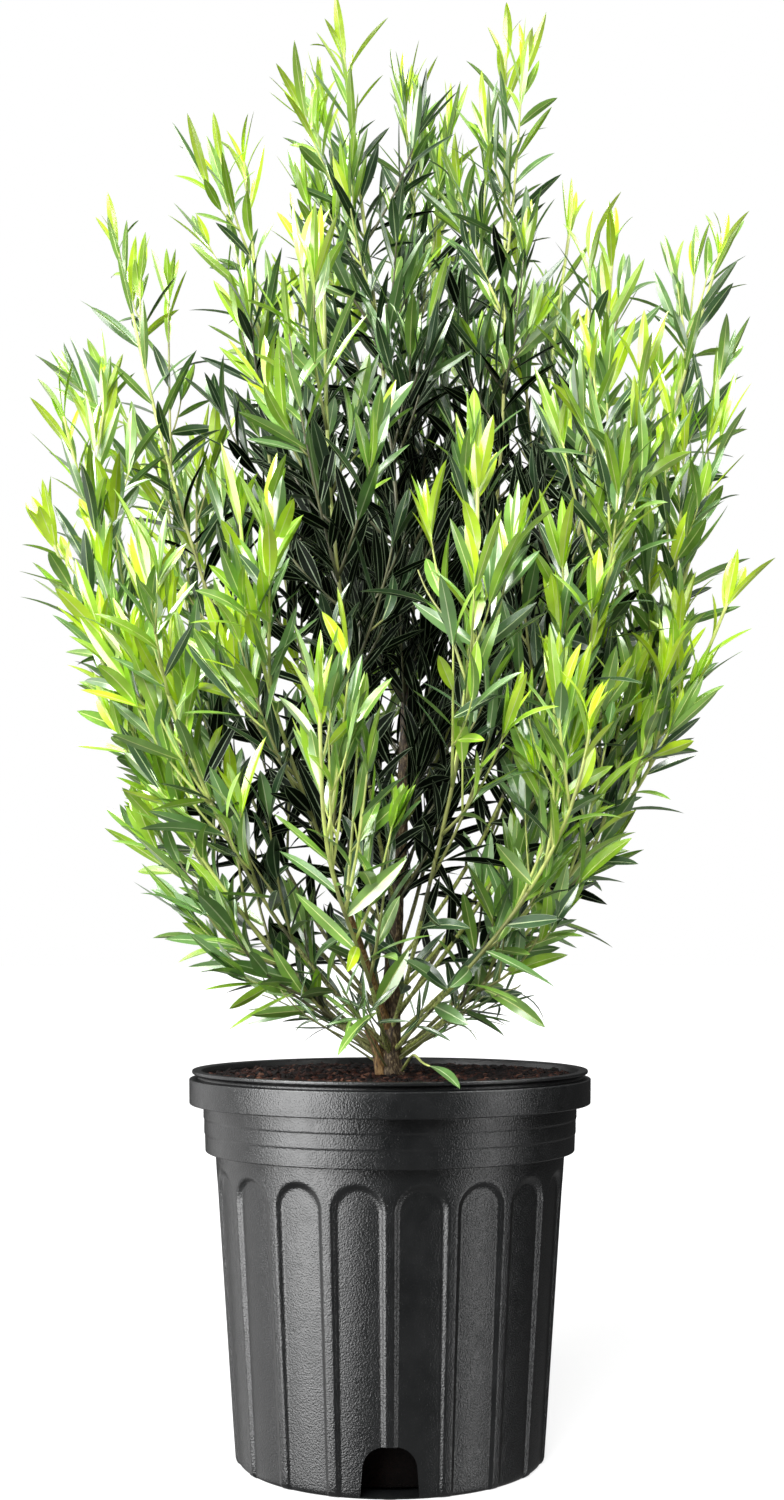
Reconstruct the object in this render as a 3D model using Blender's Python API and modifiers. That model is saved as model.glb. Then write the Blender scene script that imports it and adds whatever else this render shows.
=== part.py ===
"""A potted buddhist pine: a ribbed nursery pot of soil, a trunk, its boughs, and masses of long leaves."""

import math
import random
from typing import NamedTuple

import bmesh
import bpy
import numpy as np
from mathutils import Matrix, Vector
from mathutils.geometry import interpolate_bezier

# Clearances between solids that touch on the real plant
GAP = 0.0003
WIDER_GAP = 0.00045
ROUND_GAP = 1.2  # a six-sided tube's flats lie nearer its middle than its corners

# Nursery pot, as radii and heights above the ground
POT_HEIGHT = 0.245
POT_STEPS = 36
LIP_RADIUS = 0.1285
LIP_THICKNESS = 0.0060
LIP_CHAMFER = (0.0015, 0.0010)
LIP_DEPTH = 0.0022
GROOVE_DEPTH = 0.0040
GROOVE_TOP = 0.2416
BAND_RADIUS = 0.1303
BAND_DRAFT = 0.0003
BAND_TOP = 0.2395
BAND_BOTTOM = 0.2235
COLLAR_RADIUS = 0.1210
COLLAR_STEPS = ((0.2148, 0.1204), (0.2053, 0.1198))
COLLAR_STEP_HEIGHT = 0.0012
COLLAR_DRAFT = 0.0001
COLLAR_BOTTOM = 0.1933
SHOULDER_HEIGHT = 0.0040
BODY_TOP_RADIUS = 0.1130
BODY_BOTTOM_RADIUS = 0.0985
FOOT_ROUNDING = 0.0035
POT_WALL = 0.0048
POT_FLOOR = 0.0035
SMOOTH_ANGLE = math.radians(28)

# Sunk panels between the ribs, narrower and shallower at the foot than at the top
RIB_COUNT = 18
PANEL_HALF_WIDTHS = (0.0123, 0.0128)
PANEL_TOP = 0.1800
PANEL_DEPTHS = (0.0016, 0.0026)
PANEL_SLOPE = 1.7
PANEL_ARC_POINTS = 5

# Drain cut-outs at the foot, and the pockets in the soil behind them
DRAIN_COUNT = 4
DRAIN_WIDTH = 0.0350
DRAIN_HEIGHT = 0.0310
DRAIN_ROUNDNESS = 0.8
DRAIN_DEPTH = 0.0200
DRAIN_ARC_POINTS = 7
POCKET_WIDER = 0.0020
POCKET_DEEPER = 0.0040
CUT_MARGIN = 0.0100

# Soil and trunk
SOIL_TOP = 0.2400
TRUNK_TOP = 0.6000
TRUNK_OFFSET = (0.0060, 0.0030)
TRUNK_TIP_LEAN = 7
TRUNK_RADIUS = 0.0068
TRUNK_TIP_RADIUS = 0.0022
TRUNK_TAPER = 0.8
FLARE = 0.0030
FLARE_HEIGHT = 0.0120

# Boughs, and the stems and twigs that grow on from them
BOUGH_RADIUS = 0.0034
BOUGH_TIP_RADIUS = 0.0021
STEM_RADIUS = 0.0026
STEM_TIP_RADIUS = 0.0011
TWIG_RADIUS = 0.0013
TWIG_TIP_RADIUS = 0.0010
WANDER = 0.004
BARK_SMOOTH_ANGLE = math.radians(60)

# Side twigs, with lengths and heights in metres and places as shares of the stem
SIDE_TWIGS = 3
TWIG_LENGTHS = (0.075, 0.115)
TWIG_PLACES = (0.16, 0.72)
TWIG_SPLAY = math.radians(36)
TWIG_RUN = 0.72
TWIG_RISE = 0.30
TWIG_TURN_UP = 1.2
TWIG_TRIES = 12
LOWEST_TWIG = 0.285

# Leaves, with splays in degrees from the shoot
LEAF_LENGTH = 0.052
LEAF_SIZES = (0.86, 1.12)
LEAF_HALF_WIDTH = 0.0058
LEAF_HALF_THICKNESS = 0.0007
LEAF_WIDEST = 0.42
LEAF_SINK = 0.30
LEAF_APART = 0.0065
LEAF_TRIES = 6
LEAF_SPLAYS = (52, 32)
LEAVES_ON_STEM = 10
LEAVES_ON_TWIG = 2
LAST_LEAF = 0.96
TUFT_PLACE = 0.985
TUFT_SPLAYS = (14, 30)
GOLDEN_ANGLE = math.radians(137.508)

# Outline of the crown, which twigs and leaves stay within: its radius and middle at each height
OUTLINE_HEIGHTS = (0.26, 0.36, 0.46, 0.58, 0.70, 0.80, 0.86, 0.90, 0.93, 0.98)
OUTLINE_RADII = (0.135, 0.175, 0.210, 0.262, 0.268, 0.255, 0.235, 0.135, 0.092, 0.080)
OUTLINE_MIDDLES = (0.0, 0.0, 0.0, 0.0, 0.0, 0.015, 0.015, 0.0, 0.022, 0.025)
TWIG_TIP_INSIDE = 0.030
SPACE_MARGIN = 0.0012

# How many points a line is worked out at
LEADER_POINTS = 40
STEM_POINTS = 12
TWIG_POINTS = 6
TRUNK_POINTS = 16
TRUNK_MARKS = 60
LEADER_MARKS = 100

BARK_BROWN = (0.20, 0.14, 0.07)
LEAF_GREEN = (0.16, 0.40, 0.05)
POT_BLACK = (0.045, 0.048, 0.050)
SOIL_BROWN = (0.045, 0.022, 0.014)


class Leader(NamedTuple):
    """One leading shoot. Bearing is 0 to the right, 90 to the back, 180 left and 270 to the front."""

    bearing: float  # degrees, of the tip from the trunk's foot
    reach: float  # metres, of the tip from the trunk's foot
    tip: float  # height of the tip above the ground
    joint: float  # height where the bough leaves the trunk
    lean: float  # degrees from upright where it leaves
    tip_lean: float  # degrees from upright at the tip
    bare: float  # share of its length that is bough, below the foliage


LEADERS = {
    "crown_left": Leader(180, 0.032, 0.935, 0.600, 4, 6, 0.00),
    "crown_right": Leader(0, 0.080, 0.940, 0.400, 30, 2, 0.22),
    "crown_back": Leader(75, 0.060, 0.930, 0.430, 30, 3, 0.20),
    "upper_left": Leader(167, 0.198, 0.815, 0.330, 42, 14, 0.24),
    "upper_mid_left": Leader(160, 0.110, 0.875, 0.385, 40, 8, 0.20),
    "front_high_left": Leader(251, 0.125, 0.730, 0.350, 44, 4, 0.22),
    "upper_right": Leader(24, 0.140, 0.830, 0.355, 40, 10, 0.24),
    "front_high_right": Leader(340, 0.155, 0.775, 0.310, 44, 5, 0.26),
    "right_high": Leader(7, 0.232, 0.805, 0.290, 46, 18, 0.30),
    "back_high_left": Leader(120, 0.135, 0.840, 0.360, 42, 8, 0.24),
    "back_high_right": Leader(62, 0.160, 0.800, 0.310, 42, 10, 0.26),
    "left": Leader(176, 0.224, 0.685, 0.276, 50, 14, 0.28),
    "left_low": Leader(189, 0.222, 0.585, 0.250, 56, 22, 0.26),
    "front_left": Leader(238, 0.168, 0.575, 0.264, 28, 8, 0.26),
    "front_left_low": Leader(217, 0.185, 0.530, 0.258, 52, 10, 0.28),
    "front_low": Leader(258, 0.190, 0.455, 0.252, 56, 6, 0.28),
    "front_right": Leader(287, 0.175, 0.590, 0.268, 50, 0, 0.26),
    "right_front": Leader(325, 0.190, 0.675, 0.278, 50, 6, 0.28),
    "right": Leader(357, 0.222, 0.665, 0.264, 52, 12, 0.28),
    "right_low": Leader(350, 0.222, 0.545, 0.250, 56, 22, 0.26),
    "right_lowest": Leader(336, 0.140, 0.390, 0.247, 56, 34, 0.22),
    "front_right_low": Leader(308, 0.190, 0.450, 0.254, 54, 12, 0.28),
    "back_left": Leader(142, 0.215, 0.670, 0.275, 50, 12, 0.28),
    "back": Leader(100, 0.210, 0.630, 0.262, 52, 10, 0.28),
    "back_right": Leader(52, 0.215, 0.660, 0.272, 50, 12, 0.28),
    "back_right_low": Leader(24, 0.215, 0.530, 0.250, 54, 18, 0.26),
    "back_left_low": Leader(158, 0.200, 0.495, 0.252, 54, 18, 0.26),
    "left_lowest": Leader(207, 0.140, 0.390, 0.247, 56, 34, 0.22),
}
ON_TRUNK_TIP = "crown_left"


def upright(lean, bearing):
    """The direction that leans from upright by lean degrees, towards bearing degrees."""
    a, b = math.radians(lean), math.radians(bearing)
    return Vector((math.sin(a) * math.cos(b), math.sin(a) * math.sin(b), math.cos(a)))


def bent(start, way_out, end, way_in, points):
    """Points on a smooth curve that leaves start along way_out and comes to end along way_in."""
    handle = (end - start).length / 3
    return interpolate_bezier(
        start, start + way_out * handle, end - way_in * handle, end, points
    )


def in_outline(point, inside=0.0):
    """True if the point is in the crown's outline, by at least the distance inside."""
    radius = np.interp(point.z, OUTLINE_HEIGHTS, OUTLINE_RADII)
    middle = np.interp(point.z, OUTLINE_HEIGHTS, OUTLINE_MIDDLES)
    return math.hypot(point.x - middle, point.y) < radius - inside


class Path:
    """A line of points with a length, for a limb and what grows on it."""

    def __init__(self, points):
        self.points = points
        steps = [(b - a).length for a, b in zip(points, points[1:])]
        self.marks = [0.0]
        for step in steps:
            self.marks.append(self.marks[-1] + step)
        self.length = self.marks[-1]

    def at(self, distance):
        """(point, direction) at a distance along the line."""
        for i in range(1, len(self.marks)):
            if distance <= self.marks[i] or i == len(self.marks) - 1:
                a, b = self.points[i - 1], self.points[i]
                share = (distance - self.marks[i - 1]) / (b - a).length
                return a.lerp(b, share), (b - a).normalized()
        return self.points[-1], Vector((0, 0, 1))

    def part(self, start, end, count):
        """count points from start to end, as distances along the line."""
        return [self.at(start + (end - start) * i / (count - 1))[0] for i in range(count)]


def trunk_axis():
    """The trunk's line, which rises from the soil with a slight sway."""
    foot = Vector((0.0, 0.0, SOIL_TOP + GAP))
    collar = foot + Vector((0.0, 0.0, FLARE_HEIGHT / 2))
    top = Vector((*TRUNK_OFFSET, TRUNK_TOP))
    way_in = upright(TRUNK_TIP_LEAN, 180)
    return Path([foot] + bent(collar, upright(0, 0), top, way_in, TRUNK_POINTS))


def trunk_radius(height):
    """Radius of the trunk at a height, with the flare at its foot."""
    rise = height - SOIL_TOP
    share = min(rise / (TRUNK_TOP - SOIL_TOP), 1.0)
    flare = FLARE * math.exp(-rise / FLARE_HEIGHT)
    return TRUNK_RADIUS + (TRUNK_TIP_RADIUS - TRUNK_RADIUS) * share**TRUNK_TAPER + flare


def trunk_point(trunk, height):
    """The trunk's centre at a height."""
    for a, b in zip(trunk.points, trunk.points[1:]):
        if b.z >= height:
            return a.lerp(b, (height - a.z) / (b.z - a.z))
    return trunk.points[-1]


def leader_path(number, leader, trunk):
    """The whole line of a leading shoot, from the trunk's centre to its tip, with a slight wander."""
    start = trunk_point(trunk, leader.joint)
    side = upright(90, leader.bearing)
    end = Vector((0, 0, leader.tip)) + side * leader.reach
    way_out = upright(leader.lean, leader.bearing)
    way_in = upright(leader.tip_lean, leader.bearing)
    line = bent(start, way_out, end, way_in, LEADER_POINTS)
    across = side.cross(Vector((0, 0, 1)))
    sway = WANDER * math.sin(GOLDEN_ANGLE * number)
    for i, point in enumerate(line):
        share = math.pi * i / (LEADER_POINTS - 1)
        point += across * sway * math.sin(2 * share) * math.sin(share)
    return Path(line)


class Crown:
    """Every limb's line, so that each mass can keep to the space nearest its own."""

    def __init__(self, trunk, leaders):
        points, owners, radii = [], [], []
        for mark in trunk.part(0.0, trunk.length, TRUNK_MARKS):
            points.append(mark)
            owners.append(-1)
            radii.append(trunk_radius(mark.z))
        for number, path in enumerate(leaders):
            for mark in path.part(0.0, path.length, LEADER_MARKS):
                points.append(mark)
                owners.append(number)
                radii.append(BOUGH_TIP_RADIUS)
        self.points = np.array(points)
        self.owners = np.array(owners)
        self.radii = np.array(radii)

    def holds(self, number, points):
        """True if all the points are nearer limb number than any other limb."""
        for point in points:
            away = np.linalg.norm(self.points - np.array(point), axis=1) - self.radii
            own = self.owners == number
            if away[own].min() + SPACE_MARGIN >= away[~own].min():
                return False
        return True


class Leaf(NamedTuple):
    """One leaf: where its root is, the way it points, the way its blade lies across, and its length."""

    root: Vector
    way: Vector
    across: Vector
    length: float

    def spine(self):
        """Points along the middle of the outer part of the leaf."""
        return [self.root + self.way * self.length * share for share in (0.35, 0.55, 0.78, 1.0)]

    def marks(self):
        """Points along the leaf and on both its edges."""
        wide = self.across * LEAF_HALF_WIDTH
        widest = self.root + self.way * self.length * LEAF_WIDEST
        return self.spine() + [widest + wide, widest - wide]


class Shoot(NamedTuple):
    """A stem or twig that carries leaves: its line, and its radius at both ends."""

    path: Path
    first: float
    last: float

    def radius(self, distance):
        return self.first + (self.last - self.first) * distance / self.path.length


def leaf_on(shoot, distance, turn, splay, length):
    """A leaf on a shoot: turn is its bearing about the stem, and splay its angle from the stem."""
    place, along = shoot.path.at(distance)
    aside = along.orthogonal().normalized()
    aside.rotate(Matrix.Rotation(turn, 3, along))
    way = along * math.cos(splay) + aside * math.sin(splay)
    sink = LEAF_SINK * shoot.radius(distance) / math.sin(max(splay, 0.4))
    return Leaf(place - way * sink, way, along.cross(aside).normalized(), length)


def side_twig(crown, number, stem, share, turn, length):
    """A side twig that turns up from the stem, tried at several bearings, or None."""
    root, along = stem.at(stem.length * share)
    for attempt in range(TWIG_TRIES):
        aside = along.orthogonal().normalized()
        aside.rotate(Matrix.Rotation(turn + attempt * GOLDEN_ANGLE, 3, along))
        way = along * math.cos(TWIG_SPLAY) + aside * math.sin(TWIG_SPLAY)
        end = root + way * length * TWIG_RUN + Vector((0, 0, length * TWIG_RISE))
        way_in = (way + Vector((0, 0, TWIG_TURN_UP))).normalized()
        twig = Path(bent(root, way, end, way_in, TWIG_POINTS))
        inside = in_outline(end, TWIG_TIP_INSIDE) and end.z > LOWEST_TWIG
        if inside and crown.holds(number, twig.points[1:]):
            return twig
    return None


def grow(crown, number, path, leader):
    """(stem, twigs, leaves) of one mass, by a rule seeded with the leader's number."""
    chance = random.Random(100 + number)
    start = path.length * leader.bare + WIDER_GAP
    stem = Path(path.part(start, path.length, STEM_POINTS))
    low, high = TWIG_PLACES
    twigs = []
    for k in range(SIDE_TWIGS):
        share = low + (high - low) * (k + 0.5 * chance.random()) / SIDE_TWIGS
        length = chance.uniform(*TWIG_LENGTHS)
        twig = side_twig(crown, number, stem, share, chance.uniform(0, 2 * math.pi), length)
        if twig:
            twigs.append(Shoot(twig, TWIG_RADIUS, TWIG_TIP_RADIUS))
    stem = Shoot(stem, STEM_RADIUS, STEM_TIP_RADIUS)
    leaves = []
    add_leaves(crown, number, stem, LEAVES_ON_STEM, chance, leaves)
    for twig in twigs:
        add_leaves(crown, number, twig, LEAVES_ON_TWIG, chance, leaves)
    return stem, twigs, leaves


def add_leaves(crown, number, shoot, count, chance, leaves):
    """Adds leaves spread along a shoot on a spiral, then a tuft at its tip."""
    turn = chance.uniform(0, 2 * math.pi)
    low, high = LEAF_SPLAYS
    for i in range(count):
        share = (i + 0.6) / (count + 0.6)
        splay = math.radians(low + (high - low) * share)
        place = shoot.path.length * share * LAST_LEAF
        for attempt in range(LEAF_TRIES):
            turn += GOLDEN_ANGLE
            leaf = leaf_on(shoot, place, turn, splay, LEAF_LENGTH * chance.uniform(*LEAF_SIZES))
            if fits(crown, number, leaf, leaves):
                leaves.append(leaf)
                break
    for splay in TUFT_SPLAYS:
        turn += GOLDEN_ANGLE
        length = LEAF_LENGTH * LEAF_SIZES[0]
        leaf = leaf_on(shoot, shoot.path.length * TUFT_PLACE, turn, math.radians(splay), length)
        if fits(crown, number, leaf, leaves):
            leaves.append(leaf)


def fits(crown, number, leaf, leaves):
    """True if the leaf is in its mass's own space, and apart from the pot and the other leaves."""
    marks = leaf.marks()
    if min(mark.z for mark in marks) < POT_HEIGHT + 2 * LEAF_HALF_WIDTH:
        return False
    if not in_outline(marks[3]) or not crown.holds(number, marks):
        return False
    for other in leaves:
        for a in leaf.spine():
            if min((a - b).length for b in other.spine()) < LEAF_APART:
                return False
    return True


def material(name, colour, roughness):
    """A plain Principled material."""
    made = bpy.data.materials.new(name)
    made.use_nodes = True
    shader = made.node_tree.nodes["Principled BSDF"]
    shader.inputs["Base Color"].default_value = (*colour, 1.0)
    shader.inputs["Roughness"].default_value = roughness
    shader.inputs["Metallic"].default_value = 0.0
    return made


def object_of(name, mesh, collection):
    obj = bpy.data.objects.new(name, mesh)
    collection.objects.link(obj)
    return obj


def smooth(obj, angle):
    obj.data.shade_smooth()
    obj.data.set_sharp_from_angle(angle=angle)


def settled(obj):
    """The object as a plain mesh, with its modifiers applied."""
    bpy.context.view_layer.update()
    graph = bpy.context.evaluated_depsgraph_get()
    mesh = bpy.data.meshes.new_from_object(obj.evaluated_get(graph))
    mesh.transform(obj.matrix_world)
    name, collection = obj.name, obj.users_collection[0]
    bpy.data.objects.remove(obj)
    return object_of(name, mesh, collection)


def welded(obj):
    """The object with the edges of its caps joined to its sides."""
    shape = bmesh.new()
    shape.from_mesh(obj.data)
    bmesh.ops.remove_doubles(shape, verts=shape.verts, dist=1e-6)
    shape.to_mesh(obj.data)
    shape.free()
    return obj


def combined(obj, operation, operand, solver="EXACT"):
    """The object after one Boolean with a collection, applied."""
    cut = obj.modifiers.new(operation.title(), "BOOLEAN")
    cut.operation = operation
    cut.operand_type = "COLLECTION"
    cut.collection = operand
    cut.solver = solver
    return settled(obj)


def section(name, sides):
    """A guide: a ring of unit radius, drawn clockwise, that gives a limb its cross-section."""
    curve = bpy.data.curves.new(name, "CURVE")
    spline = curve.splines.new("POLY")
    spline.points.add(sides - 1)
    for i, point in enumerate(spline.points):
        angle = -2 * math.pi * i / sides
        point.co = (math.cos(angle), math.sin(angle), 0, 1)
    spline.use_cyclic_u = True
    guide = object_of(name, curve, guides)
    guide.hide_render = True
    guide.display_type = "WIRE"
    return guide


def limb(name, points, radii, ring, collection):
    """A closed tapering tube along points, with a radius at each."""
    curve = bpy.data.curves.new(name, "CURVE")
    curve.dimensions = "3D"
    curve.twist_mode = "MINIMUM"
    curve.bevel_mode = "OBJECT"
    curve.bevel_object = ring
    curve.use_fill_caps = True
    spline = curve.splines.new("POLY")
    spline.points.add(len(points) - 1)
    for point, place, radius in zip(spline.points, points, radii):
        point.co = (*place, 1)
        point.radius = radius
    return welded(settled(object_of(name, curve, collection)))


def tapered(first, last, count):
    return [first + (last - first) * i / (count - 1) for i in range(count)]


def turned(name, profile, collection):
    """A solid of revolution from a profile of (radius, height) points that ends on the axis."""
    mesh = bpy.data.meshes.new(name)
    shape = bmesh.new()
    corners = [shape.verts.new((radius, 0, height)) for radius, height in profile]
    for a, b in zip(corners, corners[1:]):
        shape.edges.new((a, b))
    shape.to_mesh(mesh)
    shape.free()
    obj = object_of(name, mesh, collection)
    screw = obj.modifiers.new("Turn", "SCREW")
    screw.steps = screw.render_steps = POT_STEPS
    screw.use_merge_vertices = True
    screw.merge_threshold = 1e-5
    return welded(settled(obj))


def prism(name, outline, place, near, far, collection):
    """A block between two outlines that have the same count of points, place giving each point in space."""
    shape = bmesh.new()
    base = shape.faces.new([shape.verts.new(place(x, z, near)) for x, z in outline(near)])
    made = bmesh.ops.extrude_face_region(shape, geom=[base])["geom"]
    moved = [item for item in made if isinstance(item, bmesh.types.BMVert)]
    for corner, (x, z) in zip(moved, outline(far)):
        corner.co = place(x, z, far)
    bmesh.ops.recalc_face_normals(shape, faces=shape.faces)
    mesh = bpy.data.meshes.new(name)
    shape.to_mesh(mesh)
    shape.free()
    return object_of(name, mesh, collection)


def arch(half_bottom, half_top, bottom, top, arc_points):
    """An outline of two upright sides and a round top, as (across, height) points."""
    spring = top - half_top
    sides = [(-half_bottom, bottom), (half_bottom, bottom)]
    arc = [math.pi * i / (arc_points - 1) for i in range(arc_points)]
    return sides + [(half_top * math.cos(a), spring + half_top * math.sin(a)) for a in arc]


def body_radius(height):
    """Radius of the pot's tapered body at a height, between its ribs."""
    share = height / COLLAR_BOTTOM
    return BODY_BOTTOM_RADIUS + (BODY_TOP_RADIUS - BODY_BOTTOM_RADIUS) * share


def round_pot(angle):
    """Places (across, height, outward) beside the pot's body, at an angle round it."""
    out = Vector((math.cos(angle), math.sin(angle), 0))
    across = Vector((-math.sin(angle), math.cos(angle), 0))
    return lambda x, z, depth: out * (body_radius(z) + depth) + across * x + Vector((0, 0, z))


def pot_profile():
    """The pot's section, from the middle of its floor up the inside and down the outside."""
    inner_floor = body_radius(POT_FLOOR) - POT_WALL
    inner_lip = LIP_RADIUS - LIP_THICKNESS
    groove = LIP_RADIUS - GROOVE_DEPTH
    inside = [(0.0, POT_FLOOR), (inner_floor, POT_FLOOR)]
    inside += [(BODY_TOP_RADIUS - POT_WALL, COLLAR_BOTTOM)]
    inside += [(COLLAR_RADIUS - POT_WALL, COLLAR_BOTTOM + SHOULDER_HEIGHT)]
    inside += [(inner_lip - LIP_CHAMFER[0], POT_HEIGHT - LIP_CHAMFER[1]), (inner_lip, POT_HEIGHT)]
    rim = [(LIP_RADIUS, POT_HEIGHT), (LIP_RADIUS, POT_HEIGHT - LIP_DEPTH)]
    rim += [(groove, GROOVE_TOP), (groove, BAND_TOP), (BAND_RADIUS, BAND_TOP)]
    rim += [(BAND_RADIUS - BAND_DRAFT, BAND_BOTTOM), (COLLAR_RADIUS, BAND_BOTTOM)]
    collar, edge = [], COLLAR_RADIUS
    for height, radius in COLLAR_STEPS:
        collar += [(edge - COLLAR_DRAFT, height), (radius, height - COLLAR_STEP_HEIGHT)]
        edge = radius
    collar += [(edge - 4 * COLLAR_DRAFT, COLLAR_BOTTOM), (BODY_TOP_RADIUS, COLLAR_BOTTOM)]
    foot = [(body_radius(FOOT_ROUNDING), FOOT_ROUNDING)]
    foot += [(BODY_BOTTOM_RADIUS - FOOT_ROUNDING, 0.0), (0.0, 0.0)]
    return inside + rim + collar + foot


def panel_outline(outward):
    """The outline of a sunk panel between two ribs, which widens outward with its sloping sides."""
    low, high = PANEL_HALF_WIDTHS
    more = (outward + PANEL_DEPTHS[1]) * PANEL_SLOPE
    return arch(low + more, high + more, -CUT_MARGIN, PANEL_TOP + more, PANEL_ARC_POINTS)


def panel_cutters():
    """Cutters for the sunk panels, shallower towards the foot."""
    made = bpy.data.collections.new("panel_cutters")
    bpy.context.scene.collection.children.link(made)
    at_foot, at_top = PANEL_DEPTHS
    for i in range(RIB_COUNT):
        place = round_pot(-math.pi / 2 + 2 * math.pi * (i + 0.5) / RIB_COUNT)

        def sunk(x, z, depth, place=place):
            return place(x, z, depth + (at_top - at_foot) * (1 - z / PANEL_TOP))

        prism(f"panel_{i}", panel_outline, sunk, -at_top, at_foot, made)
    return made


def drain_cutters(name, wider, deeper):
    """Arched cutters through the wall at the pot's foot."""
    made = bpy.data.collections.new(name)
    bpy.context.scene.collection.children.link(made)
    half = DRAIN_WIDTH / 2 + wider
    top = DRAIN_HEIGHT + wider
    for i in range(DRAIN_COUNT):
        place = round_pot(-math.pi / 2 + 2 * math.pi * i / DRAIN_COUNT)

        def outline(depth):
            return arch(half, half * DRAIN_ROUNDNESS, -CUT_MARGIN, top, DRAIN_ARC_POINTS)

        prism(f"{name}_{i}", outline, place, -DRAIN_DEPTH - deeper, CUT_MARGIN, made)
    return made


def remove(collection):
    """Removes a collection and its objects."""
    for obj in list(collection.objects):
        bpy.data.objects.remove(obj)
    bpy.data.collections.remove(collection)


def build_pot():
    pot = turned("pot", pot_profile(), plant)
    for cutters in (panel_cutters(), drain_cutters("drain", 0.0, 0.0)):
        pot = combined(pot, "DIFFERENCE", cutters)
        remove(cutters)
    smooth(pot, SMOOTH_ANGLE)
    pot.data.materials.append(material("pot_plastic", POT_BLACK, 0.42))


def build_soil():
    """The soil, which fills the pot, with a pocket behind each drain cut-out."""
    inset = POT_WALL + WIDER_GAP
    shoulder = COLLAR_BOTTOM + SHOULDER_HEIGHT
    low, high = COLLAR_RADIUS - inset, LIP_RADIUS - LIP_THICKNESS - LIP_CHAMFER[0] - WIDER_GAP
    share = (SOIL_TOP - shoulder) / (POT_HEIGHT - LIP_CHAMFER[1] - shoulder)
    floor = POT_FLOOR + GAP
    profile = [(0.0, SOIL_TOP), (low + (high - low) * share, SOIL_TOP)]
    profile += [(low, shoulder + GAP), (BODY_TOP_RADIUS - inset, COLLAR_BOTTOM)]
    profile += [(body_radius(POT_FLOOR) - inset, floor), (0.0, floor)]
    soil = turned("soil", profile, plant)
    pockets = drain_cutters("pocket", POCKET_WIDER, POCKET_DEEPER)
    soil = combined(soil, "DIFFERENCE", pockets)
    remove(pockets)
    soil.data.materials.append(material("soil", SOIL_BROWN, 0.95))


def ground_block():
    """A cutter that keeps limbs just above the soil."""
    size = POT_HEIGHT / 2
    shape = bmesh.new()
    bmesh.ops.create_cube(shape, size=size)
    mesh = bpy.data.meshes.new("ground_block")
    shape.to_mesh(mesh)
    shape.free()
    block = object_of("ground_block", mesh, clearances)
    block.location.z = SOIL_TOP + GAP - size / 2
    return block


def build_trunk(trunk, ring):
    points = trunk.part(0.0, 3 * FLARE_HEIGHT, 7)
    points += trunk.part(6 * FLARE_HEIGHT, trunk.length, 8)
    radii = [trunk_radius(p.z) for p in points]
    made = limb("trunk", points, radii, ring, plant)
    smooth(made, BARK_SMOOTH_ANGLE)
    made.data.materials.append(bark)
    limb("trunk_clearance", points, [r + GAP * ROUND_GAP for r in radii], ring, clearances)


def build_bough(name, path, leader, ring):
    """One bough from the trunk's side, or from an earlier bough's, to where the foliage begins."""
    points = path.part(0.0, path.length * leader.bare, 5)
    radii = tapered(BOUGH_RADIUS, BOUGH_TIP_RADIUS, len(points))
    made = combined(limb(name, points, radii, ring, plant), "DIFFERENCE", clearances)
    main_shell(made)
    limb(name + "_clearance", points, [r + GAP * ROUND_GAP for r in radii], ring, clearances)
    smooth(made, BARK_SMOOTH_ANGLE)
    made.data.materials.append(bark)


def leaf_blade():
    """A leaf as a thin three-edged blade of unit length along +X, from its root to its tip."""
    shape = bmesh.new()
    bmesh.ops.create_uvsphere(shape, u_segments=3, v_segments=2, radius=0.5)
    bmesh.ops.rotate(shape, verts=shape.verts, matrix=Matrix.Rotation(math.pi / 2, 3, "Y"))
    bmesh.ops.translate(shape, verts=shape.verts, vec=(0.5, 0, 0))
    girdle = [vert for vert in shape.verts if 0 < vert.co.x < 1 and vert.co.yz.length > 0.1]
    bmesh.ops.translate(shape, verts=girdle, vec=(LEAF_WIDEST - 0.5, 0, 0))
    mesh = bpy.data.meshes.new("leaf_blade")
    shape.to_mesh(mesh)
    shape.free()
    return mesh


def leaf_matrix(leaf):
    """Places the unit blade as one leaf."""
    face = leaf.way.cross(leaf.across)
    wide, thick = 2 * LEAF_HALF_WIDTH, 2 * LEAF_HALF_THICKNESS
    turn = Matrix((leaf.way * leaf.length, leaf.across * wide, face * thick)).transposed()
    return Matrix.Translation(leaf.root) @ turn.to_4x4()


def main_shell(obj):
    """Keeps the largest closed shell, which fills a sealed hollow and drops a loose scrap."""
    shape = bmesh.new()
    shape.from_mesh(obj.data)
    unseen, shells = set(shape.faces), []
    while unseen:
        front, shell = [unseen.pop()], []
        while front:
            face = front.pop()
            shell.append(face)
            beside = {other for edge in face.edges for other in edge.link_faces} & unseen
            unseen -= beside
            front += beside
        shells.append(shell)
    shells.sort(key=len)
    for shell in shells[:-1]:
        bmesh.ops.delete(shape, geom=shell, context="FACES")
    shape.to_mesh(obj.data)
    shape.free()


def shoot_limb(name, shoot, count, ring, collection):
    """The tube of a stem or twig."""
    points = shoot.path.part(0.0, shoot.path.length, count)
    return limb(name, points, tapered(shoot.first, shoot.last, count), ring, collection)


def build_mass(name, stem, twigs, leaves, blade, ring):
    """One mass of foliage: the stem, its twigs and its leaves, joined in one solid."""
    sprigs = bpy.data.collections.new(name + "_sprigs")
    bpy.context.scene.collection.children.link(sprigs)
    for i, twig in enumerate(twigs):
        shoot_limb(f"{name}_twig_{i}", twig, 3, ring, sprigs)
    for i, leaf in enumerate(leaves):
        object_of(f"{name}_leaf_{i}", blade, sprigs).matrix_world = leaf_matrix(leaf)
    mass = combined(shoot_limb(name, stem, 7, ring, plant), "UNION", sprigs, "MANIFOLD")
    remove(sprigs)
    main_shell(mass)
    mass.data.materials.append(foliage)


for old in list(bpy.data.objects):
    bpy.data.objects.remove(old)

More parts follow.
